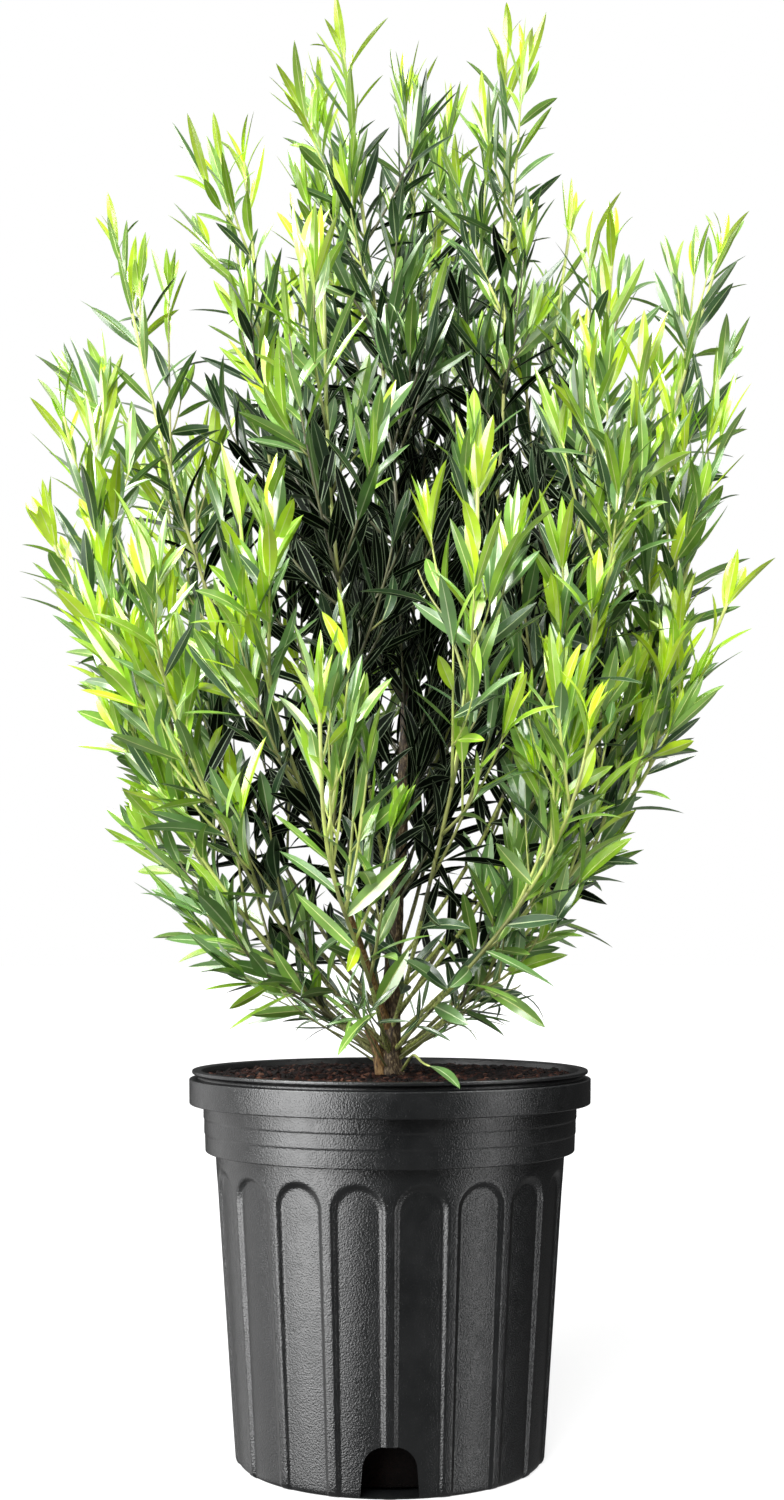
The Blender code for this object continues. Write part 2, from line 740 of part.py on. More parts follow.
plant = bpy.data.collections.new("buddhist_pine")
clearances = bpy.data.collections.new("clearances")
guides = bpy.data.collections.new("guides")
for group in (plant, clearances, guides):
    bpy.context.scene.collection.children.link(group)

bark = material("bark", BARK_BROWN, 0.85)
foliage = material("foliage", LEAF_GREEN, 0.45)

build_pot()
build_soil()

round_ring = section("round_section", 8)
bough_ring = section("bough_section", 6)
twig_ring = section("three_sided_section", 3)
leaf_mesh = leaf_blade()
axis = trunk_axis()
paths = [leader_path(n, leader, axis) for n, leader in enumerate(LEADERS.values())]
limits = Crown(axis, paths)

ground_block()
build_trunk(axis, round_ring)
for n, (label, shoot_leader) in enumerate(LEADERS.items()):
    if label != ON_TRUNK_TIP:
        build_bough(f"bough_{label}", paths[n], shoot_leader, bough_ring)
    grown = grow(limits, n, paths[n], shoot_leader)
    build_mass(f"foliage_{label}", *grown, leaf_mesh, twig_ring)

for helper in list(clearances.objects):
    helper.hide_render = True
    helper.display_type = "WIRE"
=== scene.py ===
"""The looks of the potted buddhist pine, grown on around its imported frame."""

import math
import random
from typing import NamedTuple

import bmesh
import bpy
import numpy as np
from mathutils import Matrix, Vector, noise
from mathutils.geometry import interpolate_bezier


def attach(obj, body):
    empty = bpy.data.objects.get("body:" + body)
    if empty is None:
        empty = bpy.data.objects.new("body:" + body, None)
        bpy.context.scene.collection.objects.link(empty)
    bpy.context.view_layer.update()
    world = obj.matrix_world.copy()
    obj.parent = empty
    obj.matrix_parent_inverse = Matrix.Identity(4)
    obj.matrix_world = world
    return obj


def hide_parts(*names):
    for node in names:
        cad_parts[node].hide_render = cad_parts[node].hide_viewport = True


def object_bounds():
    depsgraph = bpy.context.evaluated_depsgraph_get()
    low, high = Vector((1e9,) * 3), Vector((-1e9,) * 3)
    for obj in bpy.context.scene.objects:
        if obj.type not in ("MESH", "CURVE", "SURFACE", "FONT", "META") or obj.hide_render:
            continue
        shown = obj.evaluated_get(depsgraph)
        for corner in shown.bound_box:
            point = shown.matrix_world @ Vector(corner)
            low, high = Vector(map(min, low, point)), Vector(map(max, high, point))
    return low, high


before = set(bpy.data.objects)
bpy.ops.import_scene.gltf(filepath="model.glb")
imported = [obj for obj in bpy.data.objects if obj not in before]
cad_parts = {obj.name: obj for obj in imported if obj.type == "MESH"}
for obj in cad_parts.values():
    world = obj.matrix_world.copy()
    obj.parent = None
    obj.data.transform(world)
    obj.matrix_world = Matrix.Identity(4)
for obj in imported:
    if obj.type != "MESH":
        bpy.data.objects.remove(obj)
cad_low, cad_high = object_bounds()

# The source's named values, which the solids were made from
GAP = 0.0003
WIDER_GAP = 0.00045
POT_HEIGHT = 0.245
LIP_RADIUS = 0.1285
LIP_THICKNESS = 0.0060
LIP_DEPTH = 0.0022
GROOVE_DEPTH = 0.0040
GROOVE_TOP = 0.2416
BAND_RADIUS = 0.1303
BAND_DRAFT = 0.0003
BAND_TOP = 0.2395
BAND_BOTTOM = 0.2235
COLLAR_RADIUS = 0.1210
COLLAR_STEPS = ((0.2148, 0.1204), (0.2053, 0.1198))
COLLAR_STEP_HEIGHT = 0.0012
COLLAR_DRAFT = 0.0001
COLLAR_BOTTOM = 0.1933
SHOULDER_HEIGHT = 0.0040
BODY_TOP_RADIUS = 0.1130
BODY_BOTTOM_RADIUS = 0.0985
FOOT_ROUNDING = 0.0035
POT_FLOOR = 0.0035
RIB_COUNT = 18
PANEL_HALF_WIDTHS = (0.0123, 0.0128)
PANEL_TOP = 0.1800
PANEL_DEPTHS = (0.0016, 0.0026)
PANEL_SLOPE = 1.7
DRAIN_COUNT = 4
DRAIN_WIDTH = 0.0350
DRAIN_HEIGHT = 0.0310
SOIL_TOP = 0.2400
TRUNK_TOP = 0.6000
TRUNK_OFFSET = (0.0060, 0.0030)
TRUNK_TIP_LEAN = 7
TRUNK_RADIUS = 0.0068
TRUNK_TIP_RADIUS = 0.0022
TRUNK_TAPER = 0.8
FLARE = 0.0030
FLARE_HEIGHT = 0.0120
BOUGH_RADIUS = 0.0034
BOUGH_TIP_RADIUS = 0.0021
WANDER = 0.004
SIDE_TWIGS = 3
TWIG_LENGTHS = (0.075, 0.115)
TWIG_PLACES = (0.16, 0.72)
TWIG_SPLAY = math.radians(36)
TWIG_RUN = 0.72
TWIG_RISE = 0.30
TWIG_TURN_UP = 1.2
TWIG_TRIES = 12
LOWEST_TWIG = 0.285
GOLDEN_ANGLE = math.radians(137.508)
OUTLINE_HEIGHTS = (0.26, 0.36, 0.46, 0.58, 0.70, 0.80, 0.86, 0.90, 0.93, 0.98)
OUTLINE_RADII = (0.135, 0.175, 0.210, 0.262, 0.268, 0.255, 0.235, 0.135, 0.092, 0.080)
OUTLINE_MIDDLES = (0.0, 0.0, 0.0, 0.0, 0.0, 0.015, 0.015, 0.0, 0.022, 0.025)
TWIG_TIP_INSIDE = 0.030
SPACE_MARGIN = 0.0012
LEADER_POINTS = 40
STEM_POINTS = 12
TWIG_POINTS = 6
TRUNK_POINTS = 16
TRUNK_MARKS = 60
LEADER_MARKS = 100


class Leader(NamedTuple):
    """One leading shoot. Bearing is 0 to the right, 90 to the back, 180 left and 270 to the front."""

    bearing: float  # degrees, of the tip from the trunk's foot
    reach: float  # metres, of the tip from the trunk's foot
    tip: float  # height of the tip above the ground
    joint: float  # height where the bough leaves the trunk
    lean: float  # degrees from upright where it leaves
    tip_lean: float  # degrees from upright at the tip
    bare: float  # share of its length that is bough, below the foliage


LEADERS = {
    "crown_left": Leader(180, 0.032, 0.935, 0.600, 4, 6, 0.00),
    "crown_right": Leader(0, 0.080, 0.940, 0.400, 30, 2, 0.22),
    "crown_back": Leader(75, 0.060, 0.930, 0.430, 30, 3, 0.20),
    "upper_left": Leader(167, 0.198, 0.815, 0.330, 42, 14, 0.24),
    "upper_mid_left": Leader(160, 0.110, 0.875, 0.385, 40, 8, 0.20),
    "front_high_left": Leader(251, 0.125, 0.730, 0.350, 44, 4, 0.22),
    "upper_right": Leader(24, 0.140, 0.830, 0.355, 40, 10, 0.24),
    "front_high_right": Leader(340, 0.155, 0.775, 0.310, 44, 5, 0.26),
    "right_high": Leader(7, 0.232, 0.805, 0.290, 46, 18, 0.30),
    "back_high_left": Leader(120, 0.135, 0.840, 0.360, 42, 8, 0.24),
    "back_high_right": Leader(62, 0.160, 0.800, 0.310, 42, 10, 0.26),
    "left": Leader(176, 0.224, 0.685, 0.276, 50, 14, 0.28),
    "left_low": Leader(189, 0.222, 0.585, 0.250, 56, 22, 0.26),
    "front_left": Leader(238, 0.168, 0.575, 0.264, 28, 8, 0.26),
    "front_left_low": Leader(217, 0.185, 0.530, 0.258, 52, 10, 0.28),
    "front_low": Leader(258, 0.190, 0.455, 0.252, 56, 6, 0.28),
    "front_right": Leader(287, 0.175, 0.590, 0.268, 50, 0, 0.26),
    "right_front": Leader(325, 0.190, 0.675, 0.278, 50, 6, 0.28),
    "right": Leader(357, 0.222, 0.665, 0.264, 52, 12, 0.28),
    "right_low": Leader(350, 0.222, 0.545, 0.250, 56, 22, 0.26),
    "right_lowest": Leader(336, 0.140, 0.390, 0.247, 56, 34, 0.22),
    "front_right_low": Leader(308, 0.190, 0.450, 0.254, 54, 12, 0.28),
    "back_left": Leader(142, 0.215, 0.670, 0.275, 50, 12, 0.28),
    "back": Leader(100, 0.210, 0.630, 0.262, 52, 10, 0.28),
    "back_right": Leader(52, 0.215, 0.660, 0.272, 50, 12, 0.28),
    "back_right_low": Leader(24, 0.215, 0.530, 0.250, 54, 18, 0.26),
    "back_left_low": Leader(158, 0.200, 0.495, 0.252, 54, 18, 0.26),
    "left_lowest": Leader(207, 0.140, 0.390, 0.247, 56, 34, 0.22),
}

# Finer pot moulding than the solids carry
MOULD_WALL = 0.0020
MIDDLE_RING = 0.0005
FLOOR_RING = 0.05
FLOOR_CORNER = 0.008
INNER_ROWS = 14
INNER_BELOW_COLLAR = 0.006
COLLAR_WALL = 0.0030
LIP_FLARE = 0.0015
LIP_FLARE_HEIGHT = 0.0040
LIP_BEVEL = 0.0002
BODY_TOP = 0.190
PANEL_CLEAR = 0.008
ARCH_ROWS = (0.1500, 0.1895, 34)
WALL_ROWS = (0.0040, 0.1480, 30)
FOOT_STEPS = 4
FOOT_FADE = 0.75
BASE_RING = 0.08
CORNER_RADIUS = 0.0009
CORNER_STEPS = 4
SECTOR_ANGLES = (0, 1.1, 2.2, 3.3, 4.4, 5.4, 6.2, 6.7, 7.15, 7.6, 8.05, 8.5, 8.9, 9.4)
SHARP_ANGLE = math.radians(50)
DRAIN_SILL = 0.0012
DRAIN_CORNER = 0.0135
DRAIN_DRAFT = 0.0012
DRAIN_STEPS = 8
DRAIN_START = 0.069
DRAIN_RUN = 0.046

# Soil surface
SOIL_RADIUS = 0.1195
SOIL_FOOT = 0.0815
SOIL_MIDDLE = 0.001
SOIL_BOTTOM = 0.0045
SOIL_SHOULDER = ((SOIL_FOOT, 0.05), (0.098, 0.08), (0.105, 0.19), (SOIL_RADIUS, 0.2365))
SOIL_SINK = 0.0012
SOIL_BUMP = 0.0012
SOIL_LUMPS = 160
SOIL_SIDES = 120
SOIL_RINGS = 40
CHIP_SIZES = (0.0013, 0.0039)
CHIP_COUNT = 3600
CHIP_EDGE_GAP = 0.002
CHIP_TRUNK_GAP = 0.009
CHIP_SINK = 0.0006
CHIP_RISE = 0.0014

# Bark
TRUNK_ROWS = 170
TRUNK_SIDES = 30
TRUNK_RELIEF = 0.16
BOUGH_ROW = 0.0022
BOUGH_SIDES = 14
BOUGH_RELIEF = 0.13
BOUGH_OVERLAP = 0.004
BOUGH_SLIM = 0.40
BOUGH_TIP_SLIM = 0.62
THICK_BOUGH = "front_left"
GREEN_BEARING = 300
GREEN_SHARE = 0.35
RELIEF_AROUND = 1.6
RELIEF_ALONG = 90
FINE_RELIEF = 0.6
FINE_AROUND = 3
FINE_ALONG = 2.2
STUB_FOOT = Vector((-0.0055, -0.005, 0.2395))
STUB_TOP = Vector((-0.0150, -0.009, 0.2700))
STUB_RADIUS = 0.0042
STUB_TAPER = 0.0020
STUB_ROWS = 16

# Finer shoots and leaves
MORE_TWIGS = 4
OPEN_ABOVE = 0.830
COMPANION_DEPTHS = (0.090, 0.200)
COMPANION_REACH = (0.70, 0.92)
COMPANION_SPLAY = math.radians(15)
MORE_LENGTHS = (0.050, 0.105)
FINER_SPLAY = math.radians(27)
TWIG_AGES = (0.00, 0.40)
FINER_AGES = (0.10, 0.75)
BOUGH_LEAVES = 0.075
MORE_PLACES = (0.02, 0.88)
SPRIG_LENGTHS = (0.028, 0.055)
SPRIG_START = 0.2
SPRIG_RUN = 0.35
SPRIG_AGE = 0.2
COMPANION_INSIDE = 0.010
SPRIG_INSIDE = 0.012
INNER_INSIDE = 0.06
STEM_MARKS = 24
STEM_TIP_RADIUS = 0.0011
TWIG_RADIUS = 0.0011
TWIG_TIP_RADIUS = 0.0006
TWIG_BARE = 0.006
SPRIG_RADIUS = 0.0008
SPRIG_TIP_RADIUS = 0.0005
SPRIG_BARE = 0.003
NEAR_TIP = 0.03
LEAF_SPACING = 0.0086
LEAF_LENGTHS = (0.031, 0.055)
LEAF_WIDTHS = (0.0055, 0.0095)
WIDTH_HEIGHTS = (0.35, 0.60, 0.85)
WIDTH_SHARES = (1.12, 1.00, 0.78)
LAST_LEAF = 0.002
LEAF_SPLAY = 18
OLD_SPLAY = 33
OLD_RUN = 0.13
SMALL_RUN = 0.05
TIP_LEAVES = 6
TIP_SPACING = 0.0008
TIP_SPLAY = 4
TIP_OPENING = 3.2
TOP_HEIGHTS = (0.82, 0.90)
TOP_SPACING = (1.0, 0.72)
THIN_HEIGHTS = (0.30, 0.38, 0.48, 0.60, 0.66, 0.72, 0.80, 0.86, 0.90)
THIN_SHARES = (0.54, 0.44, 0.30, 0.22, 0.24, 0.34, 0.40, 0.25, 0.00)
THINNED_DEPTH = 0.62
WINDOW_HEIGHTS = (0.34, 0.56)
WINDOW_SIDES = (-0.040, 0.052)
WINDOW_SHARE = 0.60
# How a leaf's green is picked: by its age, by painted shade deep in the crown, and by shifts darker or
# lighter with height
TINT_HEIGHTS = (0.30, 0.38, 0.46, 0.53, 0.65, 0.74, 0.86, 0.93)
TINT_SHIFTS = (-0.74, -0.34, 0.06, 0.04, 0.04, 0.09, 0.09, -0.06)
AGE_RUN = 0.17
LOWEST_AGE = 0.59
SHOOT_SHARE = 0.7
HIGH_SHARE = 0.3
HIGH_START = 0.57
HIGH_RUN = 0.18
LOW_END = 0.52
LOWEST_END = 0.46
LOW_RUN = 0.10
# Painted shade: greens darken deeper in the crown, more so low in its middle, less high up where the light
# falls, not at the foot
SHADE = 6.4
SHADE_DEPTH = 0.41
LOW_SHADE = 0.20
HIGH_LIGHT = 0.85
SHADE_START = 0.33
SHADE_RUN = 0.06
SHADED_RUN = 0.14
INNER_TWIGS = 34
INNER_PLACES = (0.26, 0.98)
INNER_ON_LEADER = 6
INNER_FROM_BARE = 0.06
INNER_END = 0.66
INNER_REACH = 0.165
INNER_TIP = 0.70
INNER_LENGTHS = (0.045, 0.085)
INNER_SPLAY = math.radians(48)
# Painted shade: how much darker the inner twigs' leaves start
INNER_SHADE = 1.6
INNER_BELOW = 0.3
INNER_BARE = 0.008
BARE_FOOT = 0.055
BARE_WIDTH = 0.140
POT_CLEARANCE = 0.006
BOX_MARGIN = 0.010
OUTLINE_MARGIN = 0.004
# Widths of the pale midrib and margins, partly painted glints
RIB_SHARE = 0.100
MARGIN_SHARE = 0.070
LEAF_STATIONS = (0.0, 0.07, 0.18, 0.32, 0.47, 0.62, 0.77, 0.90, 1.0)
LEAF_FOLD = 0.26
WAXY_GLOSS = 0.80
WAX = 0.40
WAX_ROUGHNESS = 0.15

CAMERA_PLACE = (0.0013, -1.2454, 0.3238)
CAMERA_PITCH = 5.96
CAMERA_LENS = 45.26


def upright(lean, bearing):
    """The direction that leans from upright by lean degrees, towards bearing degrees."""
    a, b = math.radians(lean), math.radians(bearing)
    return Vector((math.sin(a) * math.cos(b), math.sin(a) * math.sin(b), math.cos(a)))


def bent(start, way_out, end, way_in, points):
    """Points on a smooth curve that leaves start along way_out and comes to end along way_in."""
    handle = (end - start).length / 3
    return interpolate_bezier(start, start + way_out * handle, end - way_in * handle, end, points)


def crown_depth(point):
    """Share of the crown's radius that a point lies within its outline, 1 on the plant's axis."""
    return 1 - math.hypot(point.x, point.y) / np.interp(point.z, OUTLINE_HEIGHTS, OUTLINE_RADII)


def in_outline(point, inside=0.0):
    """True if the point is in the crown's outline, by at least the distance inside."""
    radius = np.interp(point.z, OUTLINE_HEIGHTS, OUTLINE_RADII)
    middle = np.interp(point.z, OUTLINE_HEIGHTS, OUTLINE_MIDDLES)
    return math.hypot(point.x - middle, point.y) < radius - inside


class Path:
    """A line of points with a length, for a limb and what grows on it."""

    def __init__(self, points):
        self.points = points
        steps = [(b - a).length for a, b in zip(points, points[1:])]
        self.marks = [0.0]
        for step in steps:
            self.marks.append(self.marks[-1] + step)
        self.length = self.marks[-1]

    def at(self, distance):
        """(point, direction) at a distance along the line."""
        last = len(self.marks) - 1
        i = next((i for i in range(1, last) if distance <= self.marks[i]), last)
        a, b = self.points[i - 1], self.points[i]
        share = (distance - self.marks[i - 1]) / (b - a).length
        return a.lerp(b, share), (b - a).normalized()

    def part(self, start, end, count):
        """count points from start to end, as distances along the line."""
        return [self.at(start + (end - start) * i / (count - 1))[0] for i in range(count)]


def trunk_axis():
    """The trunk's line, which rises from the soil with a slight sway."""
    foot = Vector((0.0, 0.0, SOIL_TOP + GAP))
    collar = foot + Vector((0.0, 0.0, FLARE_HEIGHT / 2))
    top = Vector((*TRUNK_OFFSET, TRUNK_TOP))
    way_in = upright(TRUNK_TIP_LEAN, 180)
    return Path([foot] + bent(collar, upright(0, 0), top, way_in, TRUNK_POINTS))


def trunk_radius(height):
    """Radius of the trunk at a height, with the flare at its foot."""
    rise = height - SOIL_TOP
    share = min(rise / (TRUNK_TOP - SOIL_TOP), 1.0)
    flare = FLARE * math.exp(-rise / FLARE_HEIGHT)
    return TRUNK_RADIUS + (TRUNK_TIP_RADIUS - TRUNK_RADIUS) * share**TRUNK_TAPER + flare


def trunk_point(trunk, height):
    """The trunk's centre at a height."""
    for a, b in zip(trunk.points, trunk.points[1:]):
        if b.z >= height:
            return a.lerp(b, (height - a.z) / (b.z - a.z))
    return trunk.points[-1]


def leader_path(number, leader, trunk):
    """The whole line of a leading shoot, from the trunk's centre to its tip, with a slight wander."""
    start = trunk_point(trunk, leader.joint)
    side = upright(90, leader.bearing)
    end = Vector((0, 0, leader.tip)) + side * leader.reach
    way_out = upright(leader.lean, leader.bearing)
    way_in = upright(leader.tip_lean, leader.bearing)
    line = bent(start, way_out, end, way_in, LEADER_POINTS)
    across = side.cross(Vector((0, 0, 1)))
    sway = WANDER * math.sin(GOLDEN_ANGLE * number)
    for i, point in enumerate(line):
        share = math.pi * i / (LEADER_POINTS - 1)
        point += across * sway * math.sin(2 * share) * math.sin(share)
    return Path(line)


class Crown:
    """Every limb's line, so that each mass can keep to the space nearest its own."""

    def __init__(self, trunk, leaders):
        marks = [(p, -1, trunk_radius(p.z)) for p in trunk.part(0.0, trunk.length, TRUNK_MARKS)]
        for number, path in enumerate(leaders):
            marks += [(p, number, BOUGH_TIP_RADIUS) for p in path.part(0.0, path.length, LEADER_MARKS)]
        self.points, self.owners, self.radii = map(np.array, zip(*marks))

    def holds(self, number, points):
        """True if all the points are nearer limb number than any other limb."""
        for point in points:
            away = np.linalg.norm(self.points - np.array(point), axis=1) - self.radii
            own = self.owners == number
            if away[own].min() + SPACE_MARGIN >= away[~own].min():
                return False
        return True


def side_twig(crown, number, stem, share, turn, length, inside=TWIG_TIP_INSIDE, splay=TWIG_SPLAY):
    """A side twig that turns up from the stem, tried at several bearings, or None."""
    root, along = stem.at(stem.length * share)
    for attempt in range(TWIG_TRIES):
        aside = along.orthogonal().normalized()
        aside.rotate(Matrix.Rotation(turn + attempt * GOLDEN_ANGLE, 3, along))
        way = along * math.cos(splay) + aside * math.sin(splay)
        end = root + way * length * TWIG_RUN + Vector((0, 0, length * TWIG_RISE))
        way_in = (way + Vector((0, 0, TWIG_TURN_UP))).normalized()
        twig = Path(bent(root, way, end, way_in, TWIG_POINTS))
        fits = in_outline(end, inside) and end.z > LOWEST_TWIG
        if fits and (crown is None or crown.holds(number, twig.points[1:])):
            return twig
    return None


class Shoot(NamedTuple):
    """A stem or twig with leaves."""

    path: Path
    first: float  # radius at its root
    last: float  # radius at its tip
    bare: float  # length without leaves, from its root
    age_and_shade: float  # how much older its leaves are than a leading shoot's, plus painted shade for the twigs within the crown
    below: float  # how far its tip is from its leader's

    def radius(self, distance):
        """Radius at a distance from its root."""
        return self.first + (self.last - self.first) * distance / self.path.length


def grow(crown, number, path, leader):
    """The shoots of one mass: the source's stem and side twigs first, then finer ones."""
    chance = random.Random(100 + number)
    start = path.length * leader.bare + WIDER_GAP
    stem = Path(path.part(start, path.length, STEM_POINTS))
    low, high = TWIG_PLACES
    twigs = []
    for k in range(SIDE_TWIGS):
        share = low + (high - low) * (k + 0.5 * chance.random()) / SIDE_TWIGS
        length = chance.uniform(*TWIG_LENGTHS)
        twig = side_twig(crown, number, stem, share, chance.uniform(0, 2 * math.pi), length)
        if twig:
            twigs.append(twig)
    finer = random.Random(900 + number)
    low, high = MORE_PLACES
    for k in range(MORE_TWIGS):
        share = low + (high - low) * (k + 0.7 * finer.random()) / MORE_TWIGS
        length = finer.uniform(*MORE_LENGTHS)
        turn = finer.uniform(0, 2 * math.pi)
        twig = side_twig(None, number, stem, share, turn, length, splay=FINER_SPLAY)
        if twig and twig.points[0].z < OPEN_ABOVE:
            twigs.append(twig)
    below = finer.uniform(*COMPANION_DEPTHS)
    length = below * finer.uniform(*COMPANION_REACH)
    turn = finer.uniform(0, 2 * math.pi)
    share = max(1 - below / stem.length, MORE_PLACES[0])
    twig = side_twig(None, number, stem, share, turn, length, COMPANION_INSIDE, COMPANION_SPLAY)
    if twig:
        twigs.append(twig)
    leafy = max(start - BOUGH_LEAVES, 0.0)
    whole = Path(path.part(leafy, path.length, STEM_MARKS))
    shoots = [Shoot(whole, BOUGH_TIP_RADIUS * BOUGH_TIP_SLIM, STEM_TIP_RADIUS, 0.0, 0.0, 0.0)]
    for i, twig in enumerate(twigs):
        age_and_shade = finer.uniform(*(TWIG_AGES if i < SIDE_TWIGS else FINER_AGES))
        below = max((path.points[-1] - twig.points[-1]).length - NEAR_TIP, 0.0)
        shoots.append(Shoot(twig, TWIG_RADIUS, TWIG_TIP_RADIUS, TWIG_BARE, age_and_shade, below))
        share = SPRIG_START + SPRIG_RUN * finer.random()
        length = finer.uniform(*SPRIG_LENGTHS)
        turn = finer.uniform(0, 2 * math.pi)
        sprig = side_twig(None, number, twig, share, turn, length, SPRIG_INSIDE)
        if sprig:
            age_and_shade += SPRIG_AGE
            below += NEAR_TIP
            shoots.append(Shoot(sprig, SPRIG_RADIUS, SPRIG_TIP_RADIUS, SPRIG_BARE, age_and_shade, below))
    return shoots


def grow_within(trunk, leader_paths):
    """The short shady twigs inside the crown, on the trunk and on the lower halves of the upright stems,
    whose leaves take dark greens as painted shade.
    """
    chance = random.Random(555)
    lines = [(trunk, *INNER_PLACES, INNER_TWIGS)]
    for path, leader in zip(leader_paths, LEADERS.values()):
        if leader.reach < INNER_REACH and leader.tip > INNER_TIP:
            lines.append((path, leader.bare + INNER_FROM_BARE, INNER_END, INNER_ON_LEADER))
    shoots = []
    for path, low, high, count in lines:
        for k in range(count):
            share = low + (high - low) * (k + chance.random()) / count
            turn, length = chance.uniform(0, 2 * math.pi), chance.uniform(*INNER_LENGTHS)
            twig = side_twig(None, 0, path, share, turn, length, INNER_INSIDE, INNER_SPLAY)
            if twig:
                shoots.append(Shoot(twig, TWIG_RADIUS, TWIG_TIP_RADIUS, INNER_BARE, INNER_SHADE, INNER_BELOW))
    return shoots


class Mesh:
    """Points and faces that are joined in one piece."""

    def __init__(self):
        self.points, self.faces, self.count = [], [], 0

    def add(self, points, faces):
        """Adds an array of points, and an array of faces of equal size."""
        self.points.append(np.asarray(points, float))
        self.faces.append(np.asarray(faces) + self.count)
        self.count += len(points)

    def piece(self, name, material, slot, replaced=(), smooth=True):
        """Makes the joined piece an object that rides on the plant's body."""
        mesh = bpy.data.meshes.new(name)
        faces = [tuple(face) for block in self.faces for face in block.tolist()]
        mesh.from_pydata(np.concatenate(self.points).tolist(), [], faces)
        mesh.validate()
        mesh.polygons.foreach_set("use_smooth", [smooth] * len(mesh.polygons))
        place_piece(name, mesh, material, replaced)


def linked(name, data):
    """A new object in the scene."""
    obj = bpy.data.objects.new(name, data)
    bpy.context.scene.collection.objects.link(obj)
    return obj


def place_piece(name, mesh, material, replaced=()):
    """Makes a mesh an object of the plant, which rides on its body and stands for the replaced nodes."""
    mesh.materials.clear()
    mesh.materials.append(material)
    obj = linked(name, mesh)
    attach(obj, "root")
    if replaced:
        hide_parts(*replaced)


def ring_faces(rows, sides):
    """Quads between rows of a closed ring, rows being rings of points."""
    i, j = np.meshgrid(np.arange(rows - 1), np.arange(sides), indexing="ij")
    after = (j + 1) % sides
    quads = np.stack([i * sides + j, i * sides + after, (i + 1) * sides + after, (i + 1) * sides + j], -1)
    return quads.reshape(-1, 4)


def tube(mesh, points, radii, sides, relief=0.0, grain=1.0, seed=0.0):
    """Adds a tube round points, closed to a tip at both ends, with bumps of a share of its radius."""
    rows = []
    along = (points[1] - points[0]).normalized()
    aside = along.orthogonal().normalized()
    travelled = 0.0
    for i, (point, radius) in enumerate(zip(points, radii)):
        ahead = points[min(i + 1, len(points) - 1)] - points[max(i - 1, 0)]
        along = ahead.normalized()
        aside = (aside - along * aside.dot(along)).normalized()
        across = along.cross(aside)
        if i:
            travelled += (point - points[i - 1]).length
        for k in range(sides):
            angle = 2 * math.pi * k / sides
            out = aside * math.cos(angle) + across * math.sin(angle)
            swell = 1.0
            if relief:
                around = (math.cos(angle) * RELIEF_AROUND, math.sin(angle) * RELIEF_AROUND)
                where = Vector((*around, travelled * RELIEF_ALONG * grain + seed))
                swell += relief * noise.noise(where)
                fine = Vector((where.x * FINE_AROUND, where.y * FINE_AROUND, where.z * FINE_ALONG))
                swell += relief * FINE_RELIEF * noise.noise(fine)
            rows.append(point + out * radius * swell)
    first, last = len(rows), len(rows) + 1
    rows += [points[0], points[-1] + along * radii[-1]]
    base = mesh.count
    mesh.add(rows, ring_faces(len(points), sides))
    caps = []
    end = (len(points) - 1) * sides
    for k in range(sides):
        after = (k + 1) % sides
        caps.append((first, after, k))
        caps.append((last, end + k, end + after))
    mesh.faces.append(np.array(caps) + base)


def eased(value):
    """A smooth step from 0 to 1, as the value goes from 0 to 1."""
    value = min(max(value, 0.0), 1.0)
    return value * value * (3 - 2 * value)


# Pot


def body_radius(height):
    """Radius of the pot's outer face between its ribs."""
    share = height / COLLAR_BOTTOM
    return BODY_BOTTOM_RADIUS + (BODY_TOP_RADIUS - BODY_BOTTOM_RADIUS) * share


def panel_sink(angle, height):
    """How deep the pot's face is sunk at an angle in degrees from a panel's middle."""
    if height > PANEL_TOP + PANEL_CLEAR:
        return 0.0
    share = min(max(height / PANEL_TOP, 0.0), 1.0)
    depth = PANEL_DEPTHS[0] + (PANEL_DEPTHS[1] - PANEL_DEPTHS[0]) * share
    half = PANEL_HALF_WIDTHS[0] + (PANEL_HALF_WIDTHS[1] - PANEL_HALF_WIDTHS[0]) * share
    across = abs(math.radians(angle)) * body_radius(height)
    spring = PANEL_TOP - PANEL_HALF_WIDTHS[1]
    if height > spring:
        outside = math.hypot(across, height - spring) - PANEL_HALF_WIDTHS[1]
    else:
        outside = across - half
    return depth * (1 - eased(outside / (depth * PANEL_SLOPE)))


def rounded(profile, radius):
    """A profile with its corners rounded."""
    made = [Vector(profile[0])]
    for before, corner, after in zip(profile, profile[1:], profile[2:]):
        before, corner, after = Vector(before), Vector(corner), Vector(after)
        back, on = before - corner, after - corner
        reach = min(radius, back.length * 0.45, on.length * 0.45)
        a, b = corner + back.normalized() * reach, corner + on.normalized() * reach
        for i in range(CORNER_STEPS + 1):
            t = i / CORNER_STEPS
            made.append(a * (1 - t) ** 2 + corner * 2 * t * (1 - t) + b * t * t)
    made.append(Vector(profile[-1]))
    return [(p.x, p.y) for p in made]


